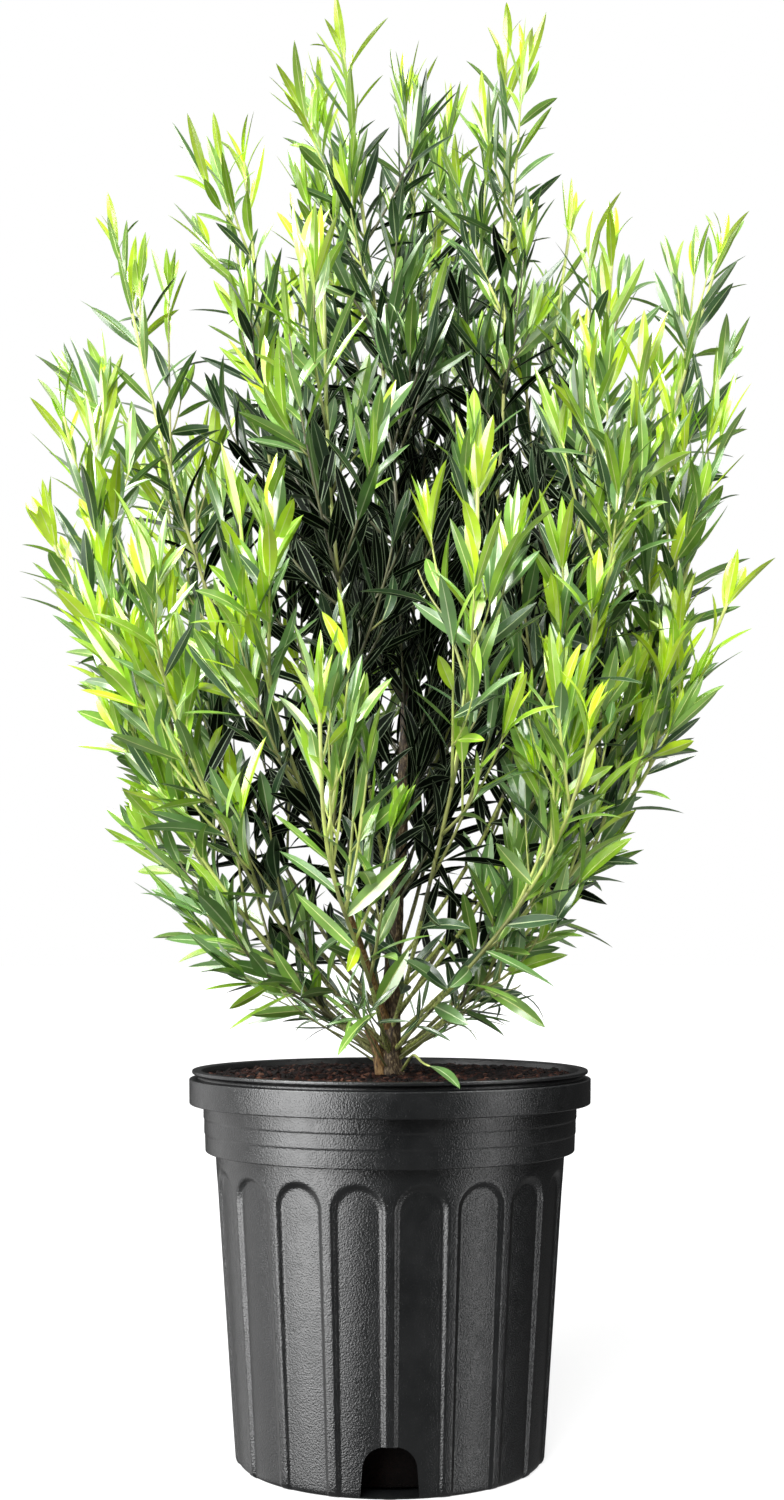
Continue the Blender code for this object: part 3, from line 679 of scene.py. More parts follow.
def pot_rows():
    """(radius, height, share of the panels' sink) of each ring, from inside the floor to beneath it."""
    lip_inside = LIP_RADIUS - LIP_THICKNESS
    groove = LIP_RADIUS - GROOVE_DEPTH
    rows = [(r, POT_FLOOR, 0) for r in (MIDDLE_RING, FLOOR_RING, body_radius(0) - FLOOR_CORNER)]
    inside = np.linspace(POT_FLOOR, COLLAR_BOTTOM - INNER_BELOW_COLLAR, INNER_ROWS)
    rows += [(body_radius(z) - MOULD_WALL, z, 1) for z in inside]
    rim = [(BODY_TOP_RADIUS - MOULD_WALL, COLLAR_BOTTOM)]
    rim += [(COLLAR_RADIUS - COLLAR_WALL, COLLAR_BOTTOM + SHOULDER_HEIGHT)]
    rim += [(lip_inside - LIP_FLARE, POT_HEIGHT - LIP_FLARE_HEIGHT), (lip_inside, POT_HEIGHT - LIP_BEVEL)]
    rim += [(LIP_RADIUS, POT_HEIGHT), (LIP_RADIUS, POT_HEIGHT - LIP_DEPTH)]
    rim += [(groove, GROOVE_TOP), (groove, BAND_TOP), (BAND_RADIUS, BAND_TOP)]
    rim += [(BAND_RADIUS - BAND_DRAFT, BAND_BOTTOM), (COLLAR_RADIUS, BAND_BOTTOM)]
    edge = COLLAR_RADIUS
    for height, radius in COLLAR_STEPS:
        rim += [(edge - COLLAR_DRAFT, height), (radius, height - COLLAR_STEP_HEIGHT)]
        edge = radius
    rim += [(edge - 4 * COLLAR_DRAFT, COLLAR_BOTTOM), (BODY_TOP_RADIUS, COLLAR_BOTTOM)]
    rim += [(body_radius(BODY_TOP), BODY_TOP)]
    rows += [(r, z, 0) for r, z in rounded(rim, CORNER_RADIUS)]
    for low, high, count in (ARCH_ROWS, WALL_ROWS):
        rows += [(body_radius(z), z, 1) for z in np.linspace(high, low, count)]
    for i in range(1, FOOT_STEPS + 1):
        turn = math.pi / 2 * i / FOOT_STEPS
        radius = body_radius(0) - FOOT_ROUNDING * (1 - math.cos(turn))
        rows.append((radius, FOOT_ROUNDING * (1 - math.sin(turn)), 1 - FOOT_FADE * i / FOOT_STEPS))
    rows += [(BASE_RING, 0.0, 0), (MIDDLE_RING, 0.0, 0)]
    return rows


def build_pot(material):
    """The pot's moulding, turned ring by ring and cut by the drain's arches."""
    sector = 360 / RIB_COUNT
    offsets = sorted({a for a in SECTOR_ANGLES} | {-a for a in SECTOR_ANGLES} | {-sector / 2})
    angles = [(sector * (i + 0.5) + offset, offset) for i in range(RIB_COUNT) for offset in offsets]
    rows = pot_rows()
    points = []
    for radius, height, sunk in rows:
        for angle, offset in angles:
            here = radius - sunk * panel_sink(offset, height)
            turn = math.radians(angle - 90)
            points.append((here * math.cos(turn), here * math.sin(turn), height))
    count = len(angles)
    faces = [tuple(face) for face in ring_faces(len(rows), count)[:, ::-1].tolist()]
    faces.append(tuple(range(count)))
    faces.append(tuple(reversed(range((len(rows) - 1) * count, len(rows) * count))))
    shape = bpy.data.meshes.new("pot_mould")
    shape.from_pydata(points, [], faces)
    shape.validate()
    pot = linked("pot_mould", shape)
    cutters = [drain_cutter(i) for i in range(DRAIN_COUNT)]
    for cutter in cutters:
        cut = pot.modifiers.new("Drain", "BOOLEAN")
        cut.operation = "DIFFERENCE"
        cut.object = cutter
        cut.solver = "MANIFOLD"
    bpy.context.view_layer.update()
    graph = bpy.context.evaluated_depsgraph_get()
    moulded = bpy.data.meshes.new_from_object(pot.evaluated_get(graph))
    for helper in [pot, *cutters]:
        bpy.data.objects.remove(helper)
    moulded.shade_smooth()
    moulded.set_sharp_from_angle(angle=SHARP_ANGLE)
    place_piece("pot_shell", moulded, material, ["pot"])


def drain_cutter(number):
    """An arched cutter through the wall at the pot's foot, with rounded corners, down to a thin sill."""
    outline = [(-DRAIN_WIDTH / 2, DRAIN_SILL), (DRAIN_WIDTH / 2, DRAIN_SILL)]
    middle = DRAIN_WIDTH / 2 - DRAIN_DRAFT - DRAIN_CORNER
    for quarter, x in enumerate((middle, -middle)):
        for i in range(DRAIN_STEPS + 1):
            turn = math.pi / 2 * (quarter + i / DRAIN_STEPS)
            rise = DRAIN_HEIGHT - DRAIN_CORNER + DRAIN_CORNER * math.sin(turn)
            outline.append((x + DRAIN_CORNER * math.cos(turn), rise))
    turn = math.radians(90 * number - 90)
    out = Vector((math.cos(turn), math.sin(turn), 0))
    side = Vector((-math.sin(turn), math.cos(turn), 0))
    shape = bmesh.new()
    face = [shape.verts.new(out * DRAIN_START + side * x + Vector((0, 0, z))) for x, z in outline]
    base = shape.faces.new(face)
    made = bmesh.ops.extrude_face_region(shape, geom=[base])["geom"]
    moved = [item for item in made if isinstance(item, bmesh.types.BMVert)]
    bmesh.ops.translate(shape, verts=moved, vec=out * DRAIN_RUN)
    bmesh.ops.recalc_face_normals(shape, faces=shape.faces)
    mesh = bpy.data.meshes.new(f"drain_cutter_{number}")
    shape.to_mesh(mesh)
    shape.free()
    return linked(mesh.name, mesh)


# Materials


def principled(name, colour, roughness):
    """A new material with its nodes and its shader."""
    made = bpy.data.materials.new(name)
    made.use_nodes = True
    shader = made.node_tree.nodes["Principled BSDF"]
    shader.inputs["Base Color"].default_value = (*colour, 1)
    shader.inputs["Roughness"].default_value = roughness
    return made, made.node_tree, shader


def noise_node(tree, scale, detail=4.0, stretch=None):
    """A noise texture in the plant's own coordinates, at a scale in lumps a metre."""
    place = tree.nodes.new("ShaderNodeTexCoord")
    texture = tree.nodes.new("ShaderNodeTexNoise")
    texture.inputs["Scale"].default_value = scale
    texture.inputs["Detail"].default_value = detail
    if stretch:
        mapping = tree.nodes.new("ShaderNodeMapping")
        mapping.inputs["Scale"].default_value = stretch
        tree.links.new(place.outputs["Object"], mapping.inputs["Vector"])
        tree.links.new(mapping.outputs["Vector"], texture.inputs["Vector"])
    else:
        tree.links.new(place.outputs["Object"], texture.inputs["Vector"])
    return texture


def coloured(tree, shader, texture, stops):
    """Colours the shader by a texture, from (place, colour) stops."""
    ramp = tree.nodes.new("ShaderNodeValToRGB")
    while len(ramp.color_ramp.elements) < len(stops):
        ramp.color_ramp.elements.new(0.5)
    for element, (place, colour) in zip(ramp.color_ramp.elements, stops):
        element.position = place
        element.color = (*colour, 1)
    tree.links.new(texture.outputs["Fac"], ramp.inputs["Fac"])
    tree.links.new(ramp.outputs["Color"], shader.inputs["Base Color"])


def bumped(tree, shader, texture, strength, distance):
    """Bumps the shader by a texture, with lumps that are distance metres high."""
    bump = tree.nodes.new("ShaderNodeBump")
    bump.inputs["Strength"].default_value = strength
    bump.inputs["Distance"].default_value = distance
    tree.links.new(texture.outputs["Fac"], bump.inputs["Height"])
    tree.links.new(bump.outputs["Normal"], shader.inputs["Normal"])


def map_range(tree, value, start=0.0, end=1.0, low=0.0, high=1.0):
    """A node that takes a value from start to end over to low to high."""
    spread = tree.nodes.new("ShaderNodeMapRange")
    for name, number in (("From Min", start), ("From Max", end), ("To Min", low), ("To Max", high)):
        spread.inputs[name].default_value = number
    tree.links.new(value, spread.inputs["Value"])
    return spread


def roughened(tree, shader, texture, low, high):
    """Spreads the shader's roughness from low to high by a texture."""
    spread = map_range(tree, texture.outputs["Fac"], 0.35, 0.65, low, high)
    tree.links.new(spread.outputs["Result"], shader.inputs["Roughness"])


def pot_plastic():
    """Satin black plastic with a fine grain."""
    made, tree, shader = principled("pot_plastic", (0.010, 0.011, 0.012), 0.38)
    shader.inputs["Specular IOR Level"].default_value = 0.42
    blacks = ((0.3, (0.0040, 0.0045, 0.0048)), (0.7, (0.0080, 0.0085, 0.0088)))
    coloured(tree, shader, noise_node(tree, 35), blacks)
    bumped(tree, shader, noise_node(tree, 1000, 1.0), 0.60, 0.00045)
    roughened(tree, shader, noise_node(tree, 120, 3.0), 0.28, 0.36)
    return made


def soil_earth(name, dark, light):
    """Moist crumbly earth or bark."""
    made, tree, shader = principled(name, dark, 0.85)
    shader.inputs["Specular IOR Level"].default_value = 0.15
    coloured(tree, shader, noise_node(tree, 420, 5.0), ((0.35, dark), (0.68, light)))
    bumped(tree, shader, noise_node(tree, 1500, 4.0), 0.7, 0.0006)
    return made


def bark(name, dark, mid, light):
    """Bark with an upright grain."""
    made, tree, shader = principled(name, mid, 0.85)
    grain = noise_node(tree, 1.0, 6.0, (900, 900, 260))
    coloured(tree, shader, grain, ((0.32, dark), (0.52, mid), (0.72, light)))
    bumped(tree, shader, noise_node(tree, 1.0, 5.0, (1400, 1400, 320)), 0.6, 0.0005)
    return made


def leaf_tint(name, colour, roughness, gloss, spread=0.16):
    """A leaf's green, a little lighter and darker from place to place."""
    made, tree, shader = principled(name, colour, roughness)
    darker = tuple(c * (1 - spread) for c in colour)
    lighter = tuple(min(c * (1 + spread), 1.0) for c in colour)
    coloured(tree, shader, noise_node(tree, 60, 2.0), ((0.35, darker), (0.65, lighter)))
    shader.inputs["Specular IOR Level"].default_value = gloss
    if gloss >= WAXY_GLOSS:
        shader.inputs["Coat Weight"].default_value = WAX
        shader.inputs["Coat Roughness"].default_value = WAX_ROUGHNESS
    return made


# Soil


CHIP_TINTS = {
    "soil_chips_dark": ((0.0012, 0.0006, 0.0005), (0.006, 0.0026, 0.002)),
    "soil_chips_red": ((0.007, 0.002, 0.0015), (0.044, 0.014, 0.008)),
    "soil_chips_tan": ((0.040, 0.016, 0.010), (0.150, 0.066, 0.040)),
}
CHIP_WEIGHTS = (6, 4, 1)


def build_soil():
    """The soil's lumpy bed, down to the pot's floor."""
    outside = ((SOIL_MIDDLE, SOIL_BOTTOM), (SOIL_FOOT, SOIL_BOTTOM), *SOIL_SHOULDER)
    profile = [(radius, height, False) for radius, height in outside]
    for i in range(SOIL_RINGS + 1):
        profile.append((SOIL_RADIUS * (1 - i / SOIL_RINGS) + SOIL_MIDDLE, SOIL_TOP, True))
    points = []
    for radius, height, rough in profile:
        for k in range(SOIL_SIDES):
            turn = 2 * math.pi * k / SOIL_SIDES
            x, y = radius * math.cos(turn), radius * math.sin(turn)
            lift = SOIL_BUMP * noise.noise(Vector((x, y, 0)) * SOIL_LUMPS) if rough else 0.0
            points.append((x, y, height - SOIL_SINK + lift))
    mesh = Mesh()
    mesh.add(points, ring_faces(len(profile), SOIL_SIDES))
    # The bed's near-black earth is partly its own damp colour, partly painted shade for the gaps between
    # the chips and the pocket behind each drain cut-out
    earth = soil_earth("soil_earth", (0.0016, 0.0008, 0.0006), (0.006, 0.0028, 0.002))
    mesh.piece("soil_bed", earth, "soil", ["soil"])


def build_chips():
    """Loose chips of bark all over the soil, each squashed, knocked about and turned."""
    meshes = {name: Mesh() for name in CHIP_TINTS}
    chance = random.Random(31)
    corners, sides = chip_shape()
    for _ in range(CHIP_COUNT):
        radius = (SOIL_RADIUS - CHIP_EDGE_GAP) * math.sqrt(chance.random())
        turn = chance.uniform(0, 2 * math.pi)
        if radius < CHIP_TRUNK_GAP:
            continue
        size = chance.uniform(*CHIP_SIZES)
        squash = np.array([1.0, chance.uniform(0.5, 0.9), chance.uniform(0.35, 0.7)]) * size
        jitter = np.array([chance.uniform(0.7, 1.25) for _ in corners])[:, None]
        spin = Matrix.Rotation(chance.uniform(0, 6.3), 3, "Z")
        spin = spin @ Matrix.Rotation(chance.gauss(0, 0.35), 3, "X")
        height = SOIL_TOP - CHIP_SINK + chance.uniform(0, CHIP_RISE)
        place = np.array([radius * math.cos(turn), radius * math.sin(turn), height])
        name = chance.choices(list(CHIP_TINTS), CHIP_WEIGHTS)[0]
        meshes[name].add((corners * jitter * squash) @ np.array(spin).T + place, sides)
    for name, tint in CHIP_TINTS.items():
        meshes[name].piece(name, soil_earth(name, *tint), "soil", ["soil"], smooth=False)


def chip_shape():
    """The corners and faces of a small lump, as arrays."""
    shape = bmesh.new()
    bmesh.ops.create_icosphere(shape, subdivisions=1, radius=1.0)
    corners = np.array([vert.co[:] for vert in shape.verts])
    sides = np.array([[vert.index for vert in face.verts] for face in shape.faces])
    shape.free()
    return corners, sides


# Trunk and boughs


BARK_TINTS = {
    "brown": ((0.012, 0.007, 0.003), (0.075, 0.046, 0.020), (0.40, 0.30, 0.16)),
    "tan": ((0.050, 0.024, 0.008), (0.240, 0.125, 0.035), (0.46, 0.30, 0.12)),
    "olive": ((0.080, 0.076, 0.028), (0.290, 0.295, 0.105), (0.56, 0.58, 0.26)),
    "green": ((0.17, 0.20, 0.04), (0.42, 0.48, 0.11), (0.68, 0.72, 0.27)),
}


def bough_tint(name, leader):
    """The name of a bough's bark: tan on the low fork's prong, green at the front right, else olive."""
    if name == THICK_BOUGH:
        return "tan"
    towards = math.cos(math.radians(leader.bearing - GREEN_BEARING))
    return "green" if towards > GREEN_SHARE else "olive"


def build_limbs(trunk, leader_paths):
    """The trunk, the boughs and a stub beside the trunk's foot, with the relief of their bark."""
    barks = {tint: bark(f"bark_{tint}", *stops) for tint, stops in BARK_TINTS.items()}
    wood = {tint: Mesh() for tint in barks}
    names = {tint: [] for tint in barks}
    points = trunk.part(0.0, trunk.length, TRUNK_ROWS)
    tube(wood["brown"], points, [trunk_radius(p.z) for p in points], TRUNK_SIDES, TRUNK_RELIEF)
    names["brown"].append("trunk")
    for number, (name, leader) in enumerate(LEADERS.items()):
        if not leader.bare:
            continue
        path = leader_paths[number]
        reach = path.length * leader.bare + BOUGH_OVERLAP
        count = int(reach / BOUGH_ROW)
        thick = name == THICK_BOUGH
        first = BOUGH_RADIUS * (1.0 if thick else BOUGH_SLIM)
        last = BOUGH_TIP_RADIUS * (1.0 if thick else BOUGH_TIP_SLIM)
        radii = [first + (last - first) * i / (count - 1) for i in range(count)]
        tint = bough_tint(name, leader)
        points = path.part(0.0, reach, count)
        tube(wood[tint], points, radii, BOUGH_SIDES, BOUGH_RELIEF, 1.4, 7.0 * number)
        names[tint].append(f"bough_{name}")
    for tint, mesh in wood.items():
        mesh.piece(f"limbs_{tint}", barks[tint], "bark", names[tint])
    stub = Mesh()
    line = Path(bent(STUB_FOOT, upright(12, 200), STUB_TOP, upright(40, 190), 10))
    radii = [STUB_RADIUS - STUB_TAPER * i / (STUB_ROWS - 1) for i in range(STUB_ROWS)]
    tube(stub, line.part(0.0, line.length, STUB_ROWS), radii, 12, 0.14, 1.2, 3.0)
    stub.piece("stub", barks["tan"], "bark", ["trunk"])


# Leaves


class Leaf(NamedTuple):
    """One leaf, and how far in radians it bends and twists from its root to its tip."""

    root: Vector
    way: Vector  # the way it points at its root
    across: Vector  # its blade's way across there
    length: float
    width: float
    bend: float
    twist: float


def leaf_template():
    """(shares along, shares across) of a leaf's points, with the quads of its blade, midrib and margins."""
    stations = np.array(LEAF_STATIONS)
    width = (stations + 0.02) ** 0.8 * np.maximum(1 - stations, 0.0) ** 0.85
    width /= width.max()
    rib = RIB_SHARE * (1 - stations) ** 0.5
    rib = np.minimum(rib, width * 0.6)
    edge = width - np.minimum(MARGIN_SHARE, (width - rib) * 0.4)
    across = np.stack([-width, -edge, -rib, rib, edge, width], 1)
    along = np.repeat(stations[:, None], 6, 1)
    last = len(stations) - 1
    blade, ribs, margins = [], [], []
    for i in range(last):
        a, b = 6 * i, 6 * (i + 1)
        blade += [(a + 1, b + 1, b + 2, a + 2), (a + 3, b + 3, b + 4, a + 4)]
        margins += [(a, b, b + 1, a + 1), (a + 4, b + 4, b + 5, a + 5)]
        ribs.append((a + 2, b + 2, b + 3, a + 3))
    return along.ravel(), across.ravel(), np.array(blade), np.array(ribs), np.array(margins)


def leaf_points(leaves, along, across):
    """The points of many leaves at once, as an array of leaves by points by coordinates."""
    root, way, side, length, width, bend, twist = (np.array(values) for values in zip(*leaves))
    root, way, side = root[:, None], way[:, None], side[:, None]
    length, width, bend, twist = (v[:, None, None] for v in (length, width, bend, twist))
    face = np.cross(way, side)
    half = width / 2
    bend = np.where(np.abs(bend) < 1e-3, 1e-3, bend)
    x, y = along[None, :, None], across[None, :, None]
    turn = bend * x
    spine = root + way * length * np.sin(turn) / bend - face * length * (1 - np.cos(turn)) / bend
    up = face * np.cos(turn) + way * np.sin(turn)
    roll = twist * x
    out = side * np.cos(roll) + up * np.sin(roll)
    rise = up * np.cos(roll) - side * np.sin(roll)
    return spine + out * y * half + rise * np.abs(y) * half * LEAF_FOLD


def leaves_on(shoot, chance):
    """(leaf, distance from the shoot's tip) for each leaf along a shoot, and for the tuft at its tip."""
    made = []
    turn = chance.uniform(0, 2 * math.pi)
    length = shoot.path.length
    place = shoot.bare
    while place < length - LAST_LEAF:
        turn += GOLDEN_ANGLE + chance.gauss(0, 0.18)
        left = length - place
        splay = LEAF_SPLAY + OLD_SPLAY * min(left / OLD_RUN, 1.0) + chance.gauss(0, 10)
        size = 0.84 + 0.16 * min(left / SMALL_RUN, 1.0)
        leaf = leaf_at(shoot, place, turn, splay, size, chance)
        made.append((leaf, left))
        denser = np.interp(leaf.root.z, TOP_HEIGHTS, TOP_SPACING)
        place += LEAF_SPACING * chance.uniform(0.75, 1.25) * denser
    for i in range(TIP_LEAVES):
        turn += GOLDEN_ANGLE
        splay = TIP_SPLAY + TIP_OPENING * i + chance.gauss(0, 2)
        size = 0.80 + 0.045 * i
        made.append((leaf_at(shoot, length - TIP_SPACING * i, turn, splay, size, chance), 0.0))
    return made


def leaf_at(shoot, distance, turn, splay, size, chance):
    """A leaf at a distance along a shoot, at a turn round it, and splayed from it by some degrees."""
    splay = math.radians(splay)
    place, along = shoot.path.at(min(distance, shoot.path.length * 0.9999))
    aside = along.orthogonal().normalized()
    aside.rotate(Matrix.Rotation(turn, 3, along))
    way = (along * math.cos(splay) + aside * math.sin(splay)).normalized()
    across = along.cross(aside).normalized()
    across.rotate(Matrix.Rotation(chance.gauss(0, 0.50), 3, way))
    length = chance.uniform(*LEAF_LENGTHS) * size
    width = chance.uniform(*LEAF_WIDTHS) * (0.55 + 0.45 * size)
    width *= np.interp(place.z, WIDTH_HEIGHTS, WIDTH_SHARES)
    root = place + way * shoot.radius(distance) * 0.5
    bend = chance.gauss(0.22, 0.28)
    return Leaf(root, way, across, length, width, bend, chance.gauss(0, 0.35))


def tip_of(leaf):
    """The leaf's tip, if it were flat."""
    return leaf.root + leaf.way * leaf.length


def thinned(leaf, chance):
    """True if the leaf is left out, so that the sky shows between the plumes, high up and low down."""
    open_share = np.interp(leaf.root.z, THIN_HEIGHTS, THIN_SHARES)
    low, high = WINDOW_HEIGHTS
    left, right = WINDOW_SIDES
    if leaf.root.y < 0 and low < leaf.root.z < high and left < leaf.root.x < right:
        open_share = WINDOW_SHARE
    return chance.random() < open_share and crown_depth(leaf.root) < THINNED_DEPTH


def leaf_fits(leaf):
    """True if the leaf keeps within the crown's outline and off the pot."""
    tip = tip_of(leaf)
    if min(tip.z, leaf.root.z) < POT_HEIGHT + POT_CLEARANCE:
        return False
    clear = BARE_FOOT * (1 - math.hypot(leaf.root.x, leaf.root.y) / BARE_WIDTH)
    if leaf.root.z < POT_HEIGHT + clear:
        return False
    for near, low, high in zip(tip, cad_low, cad_high):
        if not low - BOX_MARGIN < near < high + BOX_MARGIN:
            return False
    return in_outline(tip, -OUTLINE_MARGIN) and tip.z < cad_high.z


class Green(NamedTuple):
    """One of the leaves' greens."""

    colour: tuple
    roughness: float
    gloss: float
    ribs: str  # the tint of its midribs
    glint_margins: bool  # True if its margins are pale, as painted glints
    oldest: float  # the age and painted shade at which the next green starts


# The greens from youngest to oldest; deep in the crown the dark ones stand as painted shade, the last,
# nearly black one wholly
GREENS = {
    "leaves_new": Green((0.54, 0.78, 0.020), 0.32, 0.80, "ribs_pale", False, 0.20),
    "leaves_fresh": Green((0.34, 0.60, 0.030), 0.32, 0.90, "ribs_pale", False, 0.42),
    "leaves_young": Green((0.214, 0.415, 0.056), 0.30, 1.00, "ribs_pale", False, 0.66),
    "leaves_mid": Green((0.124, 0.262, 0.064), 0.28, 1.00, "ribs_green", False, 0.94),
    "leaves_grown": Green((0.058, 0.124, 0.048), 0.26, 0.90, "ribs_green", True, 1.28),
    "leaves_old_and_shaded": Green((0.018, 0.046, 0.016), 0.28, 0.42, "ribs_painted_glint", True, 1.64),
    "leaves_painted_shade": Green((0.0024, 0.0056, 0.0018), 0.50, 0.04, "ribs_painted_glint", True, math.inf),
}
# Midribs and margins paler than the blades: partly the leaf's own paler midrib, partly painted glints; on
# the darkest leaves the pale ribs and margins are painted glints in the shade
TRIM_TINTS = {
    "ribs_pale": ((0.70, 0.82, 0.30), 0.45, 0.60),
    "ribs_green": ((0.52, 0.64, 0.34), 0.40, 0.60),
    "ribs_painted_glint": ((0.190, 0.250, 0.150), 0.50, 0.20),
    "margins_painted_glint": ((0.200, 0.270, 0.150), 0.50, 0.40),
}


def green_of(leaf, left, shoot, chance):
    """The name of a leaf's green: younger near a shoot's tip, and darker deep in the crown as painted
    shade.
    """
    middle = leaf.root + leaf.way * leaf.length * 0.5
    high = eased((middle.z - HIGH_START) / HIGH_RUN)
    low = eased((LOW_END - middle.z) / LOW_RUN)
    lowest = eased((LOWEST_END - middle.z) / LOW_RUN)
    # Painted shade: darker greens deep in the crown, more low down, less high up where the light falls,
    # none at the foot
    shaded = max(crown_depth(middle) - SHADE_DEPTH + LOW_SHADE * low, 0.0) * SHADE
    shaded *= 1 - HIGH_LIGHT * high
    shaded *= eased((middle.z - SHADE_START) / SHADE_RUN)
    age_and_shade = left / AGE_RUN + shaded * min((left + shoot.below) / SHADED_RUN, 1.0) + chance.gauss(0, 0.25)
    # Painted light: a twig's age counts for less high up, so the top is lighter; the greens also shift
    # darker or lighter by height
    age_and_shade += shoot.age_and_shade * (SHOOT_SHARE - HIGH_SHARE * high) + np.interp(middle.z, TINT_HEIGHTS, TINT_SHIFTS)
    age_and_shade = max(age_and_shade, (LOWEST_AGE + chance.gauss(0, 0.18)) * lowest)
    return next(name for name, green in GREENS.items() if age_and_shade < green.oldest)


WISPS = 18
WISP_GREENS = ("leaves_mid", "leaves_grown", "leaves_young")
WISP_ROOTS = (0.243, 0.258)
WISP_REACHES = (0.045, 0.100)
WISP_ENDS = (0.266, 0.272)
WISP_RISE = 0.30
WISP_SWAY = 0.012
WISP_ROOT_RADIUS = 0.004
WISP_RADIUS = 0.0008
WISP_TIP_RADIUS = 0.0004
WISP_MARKS = 9
WISP_LEAF_SIZE = 0.7
WISP_LEAF_WIDTH = 0.32
WISP_CLEARANCE = 0.003


def wisps():
    """(shoot, leaves) of the thin twigs that spring from the foot."""
    made = []
    chance = random.Random(77)
    for k in range(WISPS):
        bearing = math.degrees(GOLDEN_ANGLE * k) + 200
        side = upright(90, bearing)
        root = Vector((0, 0, chance.uniform(*WISP_ROOTS))) + side * WISP_ROOT_RADIUS
        reach = chance.uniform(*WISP_REACHES)
        end = Vector((0, 0, chance.uniform(*WISP_ENDS) + reach * WISP_RISE)) + side * reach
        end += side.cross(Vector((0, 0, 1))) * chance.gauss(0, WISP_SWAY)
        way_out = upright(chance.uniform(50, 68), bearing)
        way_in = upright(chance.uniform(40, 75), bearing)
        path = Path(bent(root, way_out, end, way_in, WISP_MARKS))
        shoot = Shoot(path, WISP_RADIUS, WISP_TIP_RADIUS, 0.0, 0.0, 0.0)
        leaves = []
        turn = chance.uniform(0, 6.3)
        for i in range(chance.randint(3, 6)):
            turn += GOLDEN_ANGLE
            place = path.length * (0.55 + 0.45 * i / 6)
            leaf = leaf_at(shoot, place, turn, chance.uniform(20, 50), WISP_LEAF_SIZE, chance)
            leaf = leaf._replace(width=leaf.width * WISP_LEAF_WIDTH, bend=chance.gauss(0.7, 0.5))
            if min(tip_of(leaf).z, leaf.root.z) > POT_HEIGHT + WISP_CLEARANCE:
                leaves.append(leaf)
        made.append((shoot, leaves))
    return made


STEM_TINTS = {
    "stems_old": (0.110, 0.110, 0.055),
    "stems_olive": (0.30, 0.32, 0.10),
    "stems_green": (0.55, 0.62, 0.17),
}
STEM_PARTS = ((0.0, 0.30), (0.30, 0.60), (0.60, 1.0))
GREEN_TWIG_HEIGHT = 0.74
GREEN_TWIG_DEPTH = 0.38
OLIVE_TWIG_DEPTH = 0.60


def twig_tint(shoot):
    """The name of a twig's tint: pale at the crown's outside, darker within."""
    root = shoot.path.points[0]
    depth = crown_depth(root)
    if root.z > GREEN_TWIG_HEIGHT or depth < GREEN_TWIG_DEPTH:
        return "stems_green"
    return "stems_olive" if depth < OLIVE_TWIG_DEPTH else "stems_old"


def shoot_tube(mesh, shoot, count, sides, part=(0.0, 1.0), relief=0.0, seed=0.0):
    """Adds the tube of a shoot, or of a part of its length."""
    low, high = part
    length = shoot.path.length
    points = shoot.path.part(low * length, high * length, count)
    radii = [shoot.radius(length * (low + (high - low) * i / (count - 1))) for i in range(count)]
    tube(mesh, points, radii, sides, relief, 1.2, seed)


# The one leaf that droops over the pot's rim, and its stalk's foot
DROOPING = Leaf(
    root=Vector((0.024, -0.090, 0.2520)),
    way=Vector((0.33, -0.94, -0.02)).normalized(),
    across=Vector((0.94, 0.33, 0.00)).normalized(),
    length=0.052,
    width=0.0078,
    bend=0.35,
    twist=0.30,
)
STALK_FOOT = Vector((0.008, -0.008, 0.244))
STALK_MARKS = 10


def build_foliage(crown, trunk, leader_paths):
    """Every shoot's stem and leaves, each kind joined, with the leaves dealt out by their greens."""
    masses = [f"foliage_{name}" for name in LEADERS]
    leaves = {name: [] for name in GREENS}
    stems = {name: Mesh() for name in STEM_TINTS}
    woody = Mesh()
    for number, leader in enumerate(LEADERS.values()):
        chance = random.Random(300 + number)
        for index, shoot in enumerate(grow(crown, number, leader_paths[number], leader)):
            if index == 0:
                for part, mesh in zip(STEM_PARTS, stems.values()):
                    shoot_tube(mesh, shoot, 26, 8, part, 0.14, 5.0 * number)
            else:
                shoot_tube(stems[twig_tint(shoot)], shoot, 9, 5)
            for leaf, left in leaves_on(shoot, chance):
                if leaf_fits(leaf) and not thinned(leaf, chance):
                    leaves[green_of(leaf, left, shoot, chance)].append(leaf)
    chance = random.Random(888)
    for shoot in grow_within(trunk, leader_paths):
        shoot_tube(stems["stems_old"], shoot, 8, 5)
        for leaf, left in leaves_on(shoot, chance):
            if leaf_fits(leaf):
                leaves[green_of(leaf, left, shoot, chance)].append(leaf)
    for shoot, wisp_leaves in wisps():
        shoot_tube(woody, shoot, WISP_MARKS, 5)
        leaves[random.Random(len(woody.points)).choice(WISP_GREENS)] += wisp_leaves
    leaves["leaves_mid"].append(DROOPING)
    stalk = bent(STALK_FOOT, upright(45, 300), DROOPING.root, DROOPING.way, STALK_MARKS)
    tube(stems["stems_green"], stalk, [TWIG_RADIUS - 0.00005 * i for i in range(STALK_MARKS)], 6)
    for name, mesh in stems.items():
        mesh.piece(name, leaf_tint(name, STEM_TINTS[name], 0.5, 0.5, 0.3), "foliage", masses)
    woody.piece("wisps", leaf_tint("wisp_olive", (0.28, 0.30, 0.11), 0.6, 0.5, 0.3), "foliage")
    build_leaves(leaves, masses)


